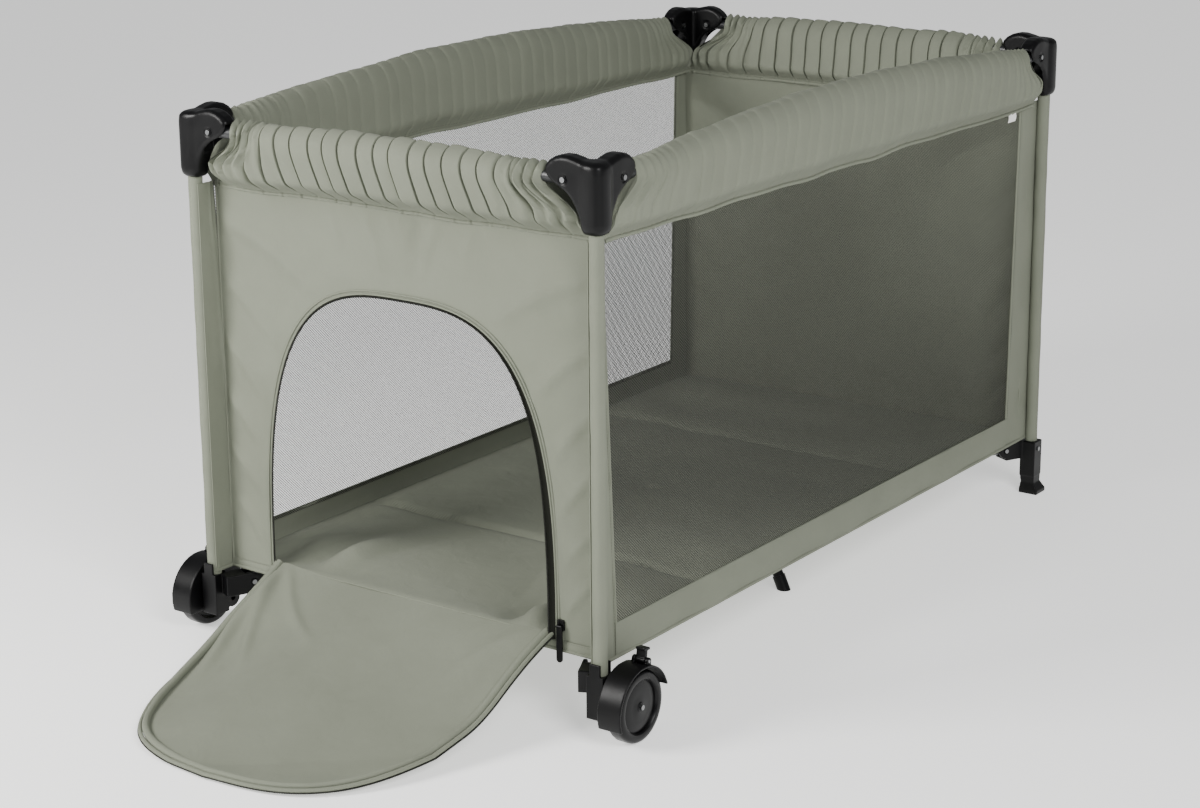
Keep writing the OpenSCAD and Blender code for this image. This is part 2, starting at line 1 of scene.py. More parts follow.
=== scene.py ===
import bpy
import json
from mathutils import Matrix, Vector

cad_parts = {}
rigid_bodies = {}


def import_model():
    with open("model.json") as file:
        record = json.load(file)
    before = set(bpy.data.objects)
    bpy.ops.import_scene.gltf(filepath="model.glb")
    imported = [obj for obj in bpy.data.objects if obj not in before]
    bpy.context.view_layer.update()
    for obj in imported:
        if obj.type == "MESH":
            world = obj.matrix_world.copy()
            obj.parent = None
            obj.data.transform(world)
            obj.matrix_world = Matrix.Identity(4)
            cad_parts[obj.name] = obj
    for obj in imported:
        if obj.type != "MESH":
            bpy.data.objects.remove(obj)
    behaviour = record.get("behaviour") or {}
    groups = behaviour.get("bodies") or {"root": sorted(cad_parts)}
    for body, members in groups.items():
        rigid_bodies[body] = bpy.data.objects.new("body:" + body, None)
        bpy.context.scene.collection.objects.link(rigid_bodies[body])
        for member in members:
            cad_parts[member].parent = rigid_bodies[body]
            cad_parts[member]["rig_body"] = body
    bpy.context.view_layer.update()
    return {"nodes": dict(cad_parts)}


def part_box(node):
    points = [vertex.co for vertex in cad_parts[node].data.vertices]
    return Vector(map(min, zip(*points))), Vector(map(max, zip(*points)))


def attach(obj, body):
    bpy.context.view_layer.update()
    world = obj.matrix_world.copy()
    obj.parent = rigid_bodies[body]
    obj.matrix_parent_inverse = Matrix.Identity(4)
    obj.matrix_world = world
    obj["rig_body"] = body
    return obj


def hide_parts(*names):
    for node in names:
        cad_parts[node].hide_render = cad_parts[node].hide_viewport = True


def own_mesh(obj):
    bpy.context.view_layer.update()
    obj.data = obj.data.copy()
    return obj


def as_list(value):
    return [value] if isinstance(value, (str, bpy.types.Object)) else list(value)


bl_info = {
    "name": "Folding playpen",
    "version": (1, 0, 0),
    "blender": (4, 5, 0),
    "location": "View3D > Sidebar > Playpen",
    "description": "Fabric, netting, mouldings and finishes of a folding playpen with a zip door",
    "category": "Add Mesh",
}

import json
import math

import bmesh
import bpy
import numpy as np
from bpy.props import FloatProperty, FloatVectorProperty, PointerProperty
from mathutils import Matrix

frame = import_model()

MM = 0.001
TAU = 2 * math.pi
RNG_SEED = 11

# Each post by name, with its side along the length and across the width.
CORNERS = {
    "front_left": (-1, -1),
    "back_left": (-1, 1),
    "front_right": (1, -1),
    "back_right": (1, 1),
}


def middle(node):
    """The middle of a CAD node's box."""
    low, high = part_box(node)
    return [(a + b) / 2 for a, b in zip(low, high)]


POST = {name: middle(name + "_post")[:2] for name in CORNERS}
PEN_X = (POST["front_left"][0] + POST["front_right"][0]) / 2
HALF_X = (POST["front_right"][0] - POST["front_left"][0]) / 2
HALF_Y = (POST["back_left"][1] - POST["front_left"][1]) / 2
RAIL_Z = middle("front_rail_left")[2]
HEM_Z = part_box("front_cover_left")[0][2]
CAP_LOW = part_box("front_left_corner_cap")[0][2]
WALL_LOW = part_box("front_left_walls")[0][2]
HINGE = [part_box("door_flap")[1][0], 0.0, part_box("door_flap")[1][2]]
FLAP_LENGTH = 412 * MM
FLAP_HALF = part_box("door_flap")[1][1]
DOOR_HALF = 242 * MM
DOOR_HEIGHT = 414 * MM
DOOR_SILL = 106 * MM
# The end walls stand this far in from the posts, and the side walls this far.
END_WALL = 28 * MM
SIDE_WALL = 9.5 * MM


# ---- sizes and colours ----


def linear(code):
    """A #rrggbb sRGB colour as linear red, green and blue."""
    parts = np.array([int(code[k : k + 2], 16) / 255 for k in (1, 3, 5)])
    low = parts / 12.92
    high = ((parts + 0.055) / 1.055) ** 2.4
    return tuple(float(v) for v in np.where(parts <= 0.04045, low, high))


def colour(name, text, code):
    """A colour property whose default is a #rrggbb value."""
    return FloatVectorProperty(
        name=name, description=text, subtype="COLOR", size=3, min=0, max=1, default=linear(code)
    )


def length(name, text, value):
    """A length property in metres."""
    return FloatProperty(name=name, description=text, default=value, min=0, unit="LENGTH")


class PlaypenColours(bpy.types.PropertyGroup):
    """Finishes that a user would change."""

    sage: colour("Sage", "Woven cover and wall fabric", "#777b6d")
    pad: colour("Mattress", "Mattress fabric", "#7b7f71")
    netting: colour("Netting", "Warp-knit mesh yarn", "#343432")
    moulding: colour("Moulding", "Black moulded plastic", "#060607")
    zip_tape: colour("Zip tape", "Zip tape and coil", "#1c1d18")
    floor: colour("Floor", "Studio floor", "#f4f4f3")


class PlaypenSizes(bpy.types.PropertyGroup):
    """Sewing sizes that a user would change."""

    pleat_pitch: length("Pleat pitch", "Distance between pleats on the rail covers", 28.6 * MM)
    end_pleat: length("End pleat depth", "Depth of the pleats on the end rails", 9.0 * MM)
    side_pleat: length("Side pleat depth", "Depth of the pleats on the long rails", 3.6 * MM)
    cover_half: length("Cover half width", "Half width of a rail cover", 24 * MM)
    band: length("Lower band", "Height of the fabric band under the netting", 47 * MM)
    net_pitch: length("Net pitch", "Distance between the netting's diagonal yarns", 4.0 * MM)
    thread: length("Thread pitch", "Distance between the drawn threads of the weave", 1.1 * MM)


class PlaypenLook(bpy.types.PropertyGroup):
    """Everything that the panel shows."""

    colours: PointerProperty(type=PlaypenColours)
    sizes: PointerProperty(type=PlaypenSizes)


def look():
    """The scene's own copy of the sizes and colours."""
    return bpy.context.scene.playpen


# ---- meshes from arrays ----


def add_piece(name, points, faces, material, uv=None, sharp=None):
    """A smooth-shaded mesh object from points and faces; uv is one pair for each point."""
    mesh = bpy.data.meshes.new(name)
    mesh.from_pydata(np.asarray(points, float).tolist(), [], [list(f) for f in faces])
    if uv is not None:
        layer = mesh.uv_layers.new(name="cloth")
        corners = np.zeros(len(mesh.loops), np.int32)
        mesh.loops.foreach_get("vertex_index", corners)
        layer.data.foreach_set("uv", np.asarray(uv, np.float32)[corners].ravel())
    mesh.shade_smooth()
    if sharp is not None:
        mesh.set_sharp_from_angle(angle=math.radians(sharp))
    mesh.materials.append(material)
    piece = bpy.data.objects.new(name, mesh)
    bpy.context.scene.collection.objects.link(piece)
    return piece


def grid_faces(rows, columns, wrap=False):
    """The quads of a grid of rows by columns, whose last column joins the first when it wraps."""
    i, j = np.meshgrid(np.arange(rows - 1), np.arange(columns if wrap else columns - 1), indexing="ij")
    right = (j + 1) % columns
    near, far = i * columns, (i + 1) * columns
    quads = np.stack([near + j, near + right, far + right, far + j], -1)
    return quads.reshape(-1, 4)


def outward(piece):
    """Turns a closed shell's faces so that they point outwards."""
    work = bmesh.new()
    work.from_mesh(piece.data)
    bmesh.ops.recalc_face_normals(work, faces=work.faces)
    work.to_mesh(piece.data)
    work.free()
    return piece


def merged(mesh, reach=1e-6):
    """Joins the mesh's points that lie within reach of each other; a long reach also drops slivers."""
    work = bmesh.new()
    work.from_mesh(mesh)
    bmesh.ops.remove_doubles(work, verts=work.verts, dist=reach)
    if reach > 1e-6:
        bmesh.ops.dissolve_degenerate(work, edges=work.edges, dist=1e-6)
    work.to_mesh(mesh)
    work.free()
    return mesh


def linked(name, mesh, material):
    """An object in the scene for a mesh, with one material."""
    mesh.materials.clear()
    mesh.materials.append(material)
    piece = bpy.data.objects.new(name, mesh)
    bpy.context.scene.collection.objects.link(piece)
    return piece


def lofted(name, points, material, uv=None, sharp=None):
    """Rings of points, rows by columns by three, as a closed shell with a face at each end."""
    rows, columns = points.shape[:2]
    faces = grid_faces(rows, columns, wrap=True).tolist()
    faces += [list(range(columns)), list(range((rows - 1) * columns, rows * columns))[::-1]]
    if uv is not None:
        uv = uv.reshape(-1, 2)
    return outward(add_piece(name, points.reshape(-1, 3), faces, material, uv, sharp))


def travel(path):
    """How far along a path each of its points lies."""
    return np.concatenate([[0], np.linalg.norm(np.diff(path, axis=0), axis=1).cumsum()])


def sheet_piece(name, points, material, thickness=0.0):
    """A grid of points, rows by columns by three, as a sheet; with a thickness, a closed shell."""
    rows, columns = points.shape[:2]
    across = np.linalg.norm(np.diff(points, axis=1), axis=2).cumsum(1)
    along = np.linalg.norm(np.diff(points, axis=0), axis=2).cumsum(0)
    u = np.concatenate([np.zeros((rows, 1)), across], 1)
    v = np.concatenate([np.zeros((1, columns)), along], 0)
    uv = np.stack([u, v], -1).reshape(-1, 2)
    faces = grid_faces(rows, columns)
    if not thickness:
        return add_piece(name, points.reshape(-1, 3), faces, material, uv)
    normal = np.cross(np.gradient(points, axis=1), np.gradient(points, axis=0))
    normal /= np.maximum(np.linalg.norm(normal, axis=2, keepdims=True), 1e-12)
    top = points + normal * thickness / 2
    under = points - normal * thickness / 2
    count = rows * columns
    rim = np.concatenate(
        [
            np.arange(columns),
            np.arange(2, rows + 1) * columns - 1,
            np.arange(count - 2, count - columns - 1, -1),
            np.arange(rows - 2, 0, -1) * columns,
        ]
    )
    after = np.roll(rim, -1)
    edge = np.stack([rim, after, after + count, rim + count], -1)
    every = np.concatenate([faces, faces[:, ::-1] + count, edge])
    both = np.concatenate([top.reshape(-1, 3), under.reshape(-1, 3)])
    return outward(add_piece(name, both, every, material, np.concatenate([uv, uv]), 50))


def tube_piece(name, path, radius, material, sides=8, closed=False, squeeze=1.0, flat_axis=(0, 0, 1)):
    """A round section carried along a path: at each point it stands square to the path, on the axis given."""
    path = np.asarray(path, float)
    tangent = np.roll(path, -1, 0) - np.roll(path, 1, 0) if closed else np.gradient(path, axis=0)
    tangent /= np.linalg.norm(tangent, axis=1, keepdims=True)
    side = np.cross(tangent, flat_axis)
    side /= np.maximum(np.linalg.norm(side, axis=1, keepdims=True), 1e-9)
    up = np.cross(side, tangent)
    turn = np.linspace(0, TAU, sides, endpoint=False)
    radius = np.broadcast_to(np.asarray(radius, float), len(path))[:, None, None]
    ring = np.cos(turn)[None, :, None] * side[:, None] + squeeze * np.sin(turn)[None, :, None] * up[:, None]
    points = path[:, None] + radius * ring
    uv = np.stack(np.meshgrid(travel(path), np.arange(sides) * 2 * MM, indexing="ij"), -1)
    if not closed:
        return lofted(name, points, material, uv, 60)
    faces = grid_faces(len(path) + 1, sides, wrap=True) % (len(path) * sides)
    return outward(add_piece(name, points.reshape(-1, 3), faces, material, uv.reshape(-1, 2), 60))


STITCH_PITCH = 4.2 * MM
STITCH = 3 * MM


def stitches(name, path, radius=0.4 * MM):
    """Short capsules end to end along a path, each one a pinched six-sided bar of four rings."""
    run = travel(path)
    starts = np.arange(STITCH_PITCH / 2, run[-1] - STITCH, STITCH_PITCH)
    steps = np.array([0.0, 0.25, 0.75, 1.0])
    swell = np.array([0.35, 1.0, 1.0, 0.35]) * radius
    at = starts[:, None] + steps[None] * STITCH
    middle_line = np.stack([np.interp(at, run, path[:, k]) for k in range(3)], -1)
    tangent = middle_line[:, -1] - middle_line[:, 0]
    tangent /= np.linalg.norm(tangent, axis=1, keepdims=True)
    spare = np.where(np.abs(tangent[:, 2:3]) > 0.8, [[1.0, 0, 0]], [[0, 0, 1.0]])
    side = np.cross(tangent, spare)
    side /= np.linalg.norm(side, axis=1, keepdims=True)
    up = np.cross(side, tangent)
    turn = np.linspace(0, TAU, 6, endpoint=False)
    ring = np.cos(turn)[None, :, None] * side[:, None] + np.sin(turn)[None, :, None] * up[:, None]
    points = middle_line[:, :, None] + swell[None, :, None, None] * ring[:, None]
    bar = grid_faces(4, 6, wrap=True).tolist() + [list(range(6)), [23, 22, 21, 20, 19, 18]]
    faces = [[v + 24 * k for v in f] for k in range(len(starts)) for f in bar]
    return outward(add_piece(name, points.reshape(-1, 3), faces, finish("sage_thread")))


def to_row(points, corner):
    """Points about a corner, with the pen inwards along +X and +Y, moved to that corner's post."""
    sx, sy = CORNERS[corner]
    made = np.array(points, float)
    made[..., 0] = POST[corner][0] - sx * made[..., 0]
    made[..., 1] = POST[corner][1] - sy * made[..., 1]
    return made


def placed(corner, end, run, across, height):
    """Points given along a rail or wall from its corner, across it inwards, and up."""
    run, across, height = np.broadcast_arrays(run, across, height)
    return to_row(np.stack([across, run, height] if end else [run, across, height], -1), corner)


def dress(piece, body, node=None):
    """The piece rides on a body, and stands for a CAD node if one is given."""
    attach(piece, body)
    if node:
        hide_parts(node)


def smooth(value, low=0.0, high=1.0):
    """Smoothstep: 0 below low, 1 above high, and an S-shaped rise between."""
    t = np.clip((value - low) / (high - low), 0, 1)
    return t * t * (3 - 2 * t)


def ripple(a, b, seed, count, wave):
    """Gentle seeded cloth unevenness: sine waves in random directions, of about the given wavelength."""
    rng = np.random.default_rng(seed)
    total = np.zeros(np.broadcast(a, b).shape)
    for _ in range(count):
        angle = rng.uniform(0, TAU)
        size = wave * rng.uniform(0.6, 1.7)
        phase = rng.uniform(0, TAU)
        total += np.sin(TAU * (a * math.cos(angle) + b * math.sin(angle)) / size + phase) * (size / wave)
    return total / math.sqrt(count)


def creases(a, b, lines):
    """Soft folds: each line (start, end, width, height) adds a bell-shaped ridge that fades at its ends."""
    total = np.zeros(np.broadcast(a, b).shape)
    for (a0, b0), (a1, b1), width, height in lines:
        reach = math.hypot(a1 - a0, b1 - b0)
        along = ((a - a0) * (a1 - a0) + (b - b0) * (b1 - b0)) / reach
        off = ((a - a0) * (b1 - b0) - (b - b0) * (a1 - a0)) / reach
        bend = off - 0.06 * reach * np.sin(math.pi * np.clip(along / reach, 0, 1))
        fade = smooth(along, -0.1 * reach, 0.25 * reach) * (1 - smooth(along, 0.6 * reach, 1.1 * reach))
        total += height * fade * np.exp(-((bend / width) ** 2)) * (1 - 0.5 * np.tanh(bend / width))
    return total


# ---- skins of moulded shapes ----


def skin_of(field, low, high, step):
    """The surface where a distance field is zero: in each cell it crosses, the mean of its edge crossings."""
    axes = [np.arange(low[k], high[k] + step, step) for k in range(3)]
    x, y, z = np.meshgrid(*axes, indexing="ij")
    d = field(x, y, z)
    cells = tuple(n - 1 for n in d.shape)
    total = np.zeros(cells + (3,))
    hits = np.zeros(cells)
    edges = []
    for axis in range(3):
        first = d[tuple(slice(0, -1) if k == axis else slice(None) for k in range(3))]
        second = d[tuple(slice(1, None) if k == axis else slice(None) for k in range(3))]
        at = np.argwhere((first < 0) != (second < 0))
        a = first[tuple(at.T)]
        share = a / (a - second[tuple(at.T)])
        cross = at.astype(float)
        cross[:, axis] += share
        others = [k for k in range(3) if k != axis]
        around = []
        for da, db in ((0, 0), (1, 0), (1, 1), (0, 1)):
            cell = at.copy()
            cell[:, others[0]] -= da
            cell[:, others[1]] -= db
            np.add.at(total, tuple(cell.T), cross)
            np.add.at(hits, tuple(cell.T), 1)
            around.append(np.ravel_multi_index(tuple(cell.T), cells))
        quads = np.stack(around, -1)
        turned = (a < 0) != (axis == 1)
        edges.append(np.where(turned[:, None], quads[:, ::-1], quads))
    used = np.flatnonzero(hits.ravel())
    number = np.full(hits.size, -1)
    number[used] = np.arange(len(used))
    points = total.reshape(-1, 3)[used] / hits.ravel()[used, None] * step + np.array(low)
    return points, number[np.concatenate(edges)]


def outline_distance(x, y, outline):
    """Signed distance to a closed outline: the least distance to any side, negative inside."""
    least = np.full(x.shape, 1e9)
    inside = np.zeros(x.shape, bool)
    for (ax, ay), (bx, by) in zip(outline, outline[1:] + outline[:1]):
        ex, ey = bx - ax, by - ay
        t = np.clip(((x - ax) * ex + (y - ay) * ey) / (ex * ex + ey * ey), 0, 1)
        least = np.minimum(least, (x - ax - t * ex) ** 2 + (y - ay - t * ey) ** 2)
        if ey:
            inside ^= ((ay > y) != (by > y)) & (x < (y - ay) * ex / ey + ax)
    return np.where(inside, -1, 1) * np.sqrt(least)


def round_both(a, b, radius):
    """Where two fields are both inside, with the edge between them rounded."""
    u, v = a + radius, b + radius
    return np.minimum(np.maximum(u, v), 0) + np.hypot(np.maximum(u, 0), np.maximum(v, 0)) - radius


def blend_either(a, b, radius):
    """Where either field is inside, with a fillet between them."""
    h = np.clip(0.5 + 0.5 * (b - a) / radius, 0, 1)
    return b + (a - b) * h - radius * h * (1 - h)


def softened(node, voxel):
    """A CAD moulding with its edges rounded: its mesh merged, remeshed finely and relaxed."""
    piece = linked("soft_" + node, merged(frame["nodes"][node].data.copy()), finish("black"))
    remesh = piece.modifiers.new("fine", "REMESH")
    remesh.mode = "VOXEL"
    remesh.voxel_size = voxel
    relax = piece.modifiers.new("relax", "SMOOTH")
    relax.factor = 0.5
    relax.iterations = 6
    graph = bpy.context.evaluated_depsgraph_get()
    made = bpy.data.meshes.new_from_object(piece.evaluated_get(graph), depsgraph=graph)
    piece.modifiers.clear()
    piece.data = made
    made.materials.clear()
    made.materials.append(finish("black"))
    made.shade_smooth()
    dress(piece, piece_body(node), node)


def piece_body(node):
    """The body that a CAD node rides on."""
    return frame["nodes"][node]["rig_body"]


# ---- materials ----


def add_node(tree, kind, settings=None, links=None):
    """A shader node with its settings, as attributes or input values, and its links by input."""
    made = tree.nodes.new(kind)
    for key, value in (settings or {}).items():
        if isinstance(key, str) and hasattr(made, key):
            setattr(made, key, value)
        else:
            made.inputs[key].default_value = value
    for key, source in (links or {}).items():
        tree.links.new(source, made.inputs[key])
    return made


def new_material(name, base, roughness, **sockets):
    """A material with one Principled shader, its plain values set on its own sockets."""
    made = bpy.data.materials.new(name)
    made.use_nodes = True
    shader = made.node_tree.nodes["Principled BSDF"]
    shader.inputs["Base Color"].default_value = (*base, 1)
    shader.inputs["Roughness"].default_value = roughness
    for socket, value in sockets.items():
        shader.inputs[socket.replace("_", " ")].default_value = value
    made.diffuse_color = (*base, 1)
    return made, made.node_tree, shader


def scaled(base, factor):
    """A colour made lighter or darker."""
    return tuple(min(1.0, c * factor) for c in base)


def noise(tree, scale, detail, **more):
    """A noise's value, in the object's own coordinates."""
    spot = add_node(tree, "ShaderNodeTexCoord").outputs["Object"]
    settings = {"Scale": scale, "Detail": detail, **more}
    return add_node(tree, "ShaderNodeTexNoise", settings, {"Vector": spot}).outputs["Fac"]


def worked(tree, operation, *terms):
    """The value of a sum whose terms are numbers or other nodes' values."""
    made = tree.nodes.new("ShaderNodeMath")
    made.operation = operation
    for k, term in enumerate(terms):
        if isinstance(term, (int, float)):
            made.inputs[k].default_value = term
        else:
            tree.links.new(term, made.inputs[k])
    return made.outputs["Value"]


def relief(tree, height, strength, distance, under=None):
    """The normal of a height's relief, laid over a coarser one if that is given."""
    links = {"Height": height, "Normal": under} if under else {"Height": height}
    settings = {"Strength": strength, "Distance": distance}
    return add_node(tree, "ShaderNodeBump", settings, links).outputs["Normal"]


def uneven_gloss(tree, shader, value, low, high, span=(0.0, 1.0)):
    """The roughness goes from low to high as a value goes over its span."""
    settings = {"From Min": span[0], "From Max": span[1], "To Min": low, "To Max": high}
    made = add_node(tree, "ShaderNodeMapRange", settings, {"Value": value})
    tree.links.new(made.outputs["Result"], shader.inputs["Roughness"])


def weave(name, base, depth=0.25, crinkle=0.5):
    """Plain-woven polyester, heat-set and matt: over-and-under threads, a faint mottle and soft crinkles.

    The real thread is about 0.3 mm; it is drawn at the thread pitch so that it shows."""
    made, tree, shader = new_material(name, base, 0.85, Sheen_Weight=0.04, Specular_IOR_Level=0.12)
    uv = add_node(tree, "ShaderNodeUVMap", {"uv_map": "cloth"}).outputs["UV"]
    scale = TAU / (20 * look().sizes.thread)
    threads = []
    for direction in ("X", "Y"):
        settings = {"bands_direction": direction, "Scale": scale, "Distortion": 0.0}
        threads.append(add_node(tree, "ShaderNodeTexWave", settings, {"Vector": uv}).outputs["Fac"])
    over = worked(tree, "MULTIPLY", *threads)
    # Mottle: dye takes up unevenly over a few centimetres.
    mottle = noise(tree, 14.0, 4.0, Roughness=0.55)
    tone = worked(tree, "MULTIPLY_ADD", noise(tree, 700.0, 1.0), 0.35, mottle)
    ramp = add_node(tree, "ShaderNodeValToRGB", None, {"Fac": tone})
    for stop, place, factor in zip(ramp.color_ramp.elements, (0.35, 0.95), (0.93, 1.05)):
        stop.position = place
        stop.color = (*scaled(base, factor), 1)
    tree.links.new(ramp.outputs["Color"], shader.inputs["Base Color"])
    crumple = noise(tree, 26.0, 3.0, Roughness=0.5, Distortion=0.6)
    soft = relief(tree, crumple, crinkle, 3 * MM)
    tree.links.new(relief(tree, over, depth, 0.25 * MM, soft), shader.inputs["Normal"])
    return made


YARN_SHARE = 0.27


def netting(name, base):
    """Warp-knit polyester mesh: two sets of diagonal yarns with open diamonds between them.

    Each set's share of the net's pitch gives the grey veil of the real net."""
    made, tree, shader = new_material(name, base, 0.8, Specular_IOR_Level=0.1)
    uv = add_node(tree, "ShaderNodeUVMap", {"uv_map": "cloth"}).outputs["UV"]
    split = add_node(tree, "ShaderNodeSeparateXYZ", None, {"Vector": uv})
    lines = []
    for sign in (1.0, -1.0):
        slanted = worked(tree, "MULTIPLY_ADD", split.outputs["Y"], sign, split.outputs["X"])
        share = worked(tree, "FRACT", worked(tree, "DIVIDE", slanted, look().sizes.net_pitch))
        lines.append(worked(tree, "LESS_THAN", share, YARN_SHARE))
    tree.links.new(worked(tree, "MAXIMUM", *lines), shader.inputs["Alpha"])
    return made


def moulded(name, base, roughness=0.36):
    """Injection-moulded polypropylene: a spark-eroded satin grain, and a faint bloom where it is handled."""
    made, tree, shader = new_material(name, base, roughness, IOR=1.49, Specular_IOR_Level=0.2)
    uneven_gloss(tree, shader, noise(tree, 30.0, 3.0), roughness - 0.05, roughness + 0.08, (0.3, 0.7))
    tree.links.new(relief(tree, noise(tree, 1400.0, 2.0), 0.25, 0.06 * MM), shader.inputs["Normal"])
    return made


def steel(name, code, roughness):
    """Zinc- or nickel-plated mild steel, a little cloudy."""
    made, tree, shader = new_material(name, linear(code), roughness, Metallic=1.0)
    uneven_gloss(tree, shader, noise(tree, 90.0, 4.0), roughness - 0.08, roughness + 0.12)
    return made


def painted(name, code):
    """Powder-coated steel tube: satin black with a fine orange-peel."""
    made, tree, shader = new_material(name, linear(code), 0.42, Coat_Weight=0.1)
    tree.links.new(relief(tree, noise(tree, 420.0, 2.0), 0.2, 0.1 * MM), shader.inputs["Normal"])
    return made


MADE = {}


def finish(name):
    """The material of a finish, made once and then shared."""
    if name not in MADE:
        colours = look().colours
        makers = {
            "sage": lambda: weave("woven_polyester_sage", tuple(colours.sage)),
            "sage_thread": lambda: weave("sewing_thread_sage", scaled(tuple(colours.sage), 0.8), 0.1, 0.0),
            "pad": lambda: weave("woven_polyester_mattress", tuple(colours.pad), 0.2, 0.7),
            "net": lambda: netting("warp_knit_mesh", tuple(colours.netting)),
            "black": lambda: moulded("moulded_polypropylene", tuple(colours.moulding)),
            "wheel": lambda: moulded("moulded_wheel_plastic", tuple(colours.moulding), 0.3),
            "zip": lambda: weave("woven_zip_tape", tuple(colours.zip_tape), 0.4, 0.0),
            "coil": lambda: moulded("nylon_zip_coil", tuple(colours.zip_tape), 0.42),
            "tube": lambda: painted("powder_coated_tube", "#1f2022"),
            "post": lambda: steel("zinc_plated_tube", "#b9bcc0", 0.38),
            "rivet": lambda: steel("nickel_plated_rivet", "#8a8b8c", 0.3),
            "label": lambda: weave("woven_care_label", linear("#f2f1ec"), 0.3, 0.0),
        }
        MADE[name] = makers[name]()
    return MADE[name]


# ---- rail covers ----

# Each rail half: its corner, whether it is an end rail, and its CAD names.
RAILS = {
    "front_cover_left": ("front_left", False, "front_rail_left_half"),
    "front_cover_right": ("front_right", False, "front_rail_right_half"),
    "back_cover_left": ("back_left", False, "back_rail_left_half"),
    "back_cover_right": ("back_right", False, "back_rail_right_half"),
    "door_cover_front": ("front_left", True, "door_rail_front_half"),
    "door_cover_back": ("back_left", True, "door_rail_back_half"),
    "far_cover_front": ("front_right", True, "far_rail_front_half"),
    "far_cover_back": ("back_right", True, "far_rail_back_half"),
}
DROP = RAIL_Z - HEM_Z
CROWN = 16 * MM
CAP_REACH = 70 * MM
COVER_START = 26 * MM
# The cover's half width where it is tucked into the cap.
TUCKED_HALF = 15.5 * MM
# The pleats' even pitch is counted from here.
FAN_START = 50 * MM
COVER_KEEP = 0.35


def cover_bow(run, reach, end):
    """How far the cover's crest rises from the cap to the rail's middle: a quarter sine."""
    rise = 7 * MM if end else 28 * MM
    return rise * np.sin(math.pi / 2 * np.clip((run - CAP_REACH) / (reach - CAP_REACH), 0, 1))


def pleat_lobe(share):
    """One pleat across its pitch: it rises steeply, rounds over, and drops sharply at the next crease."""
    return (1 - np.exp(-share / 0.10)) * (1 - 0.35 * share**2)


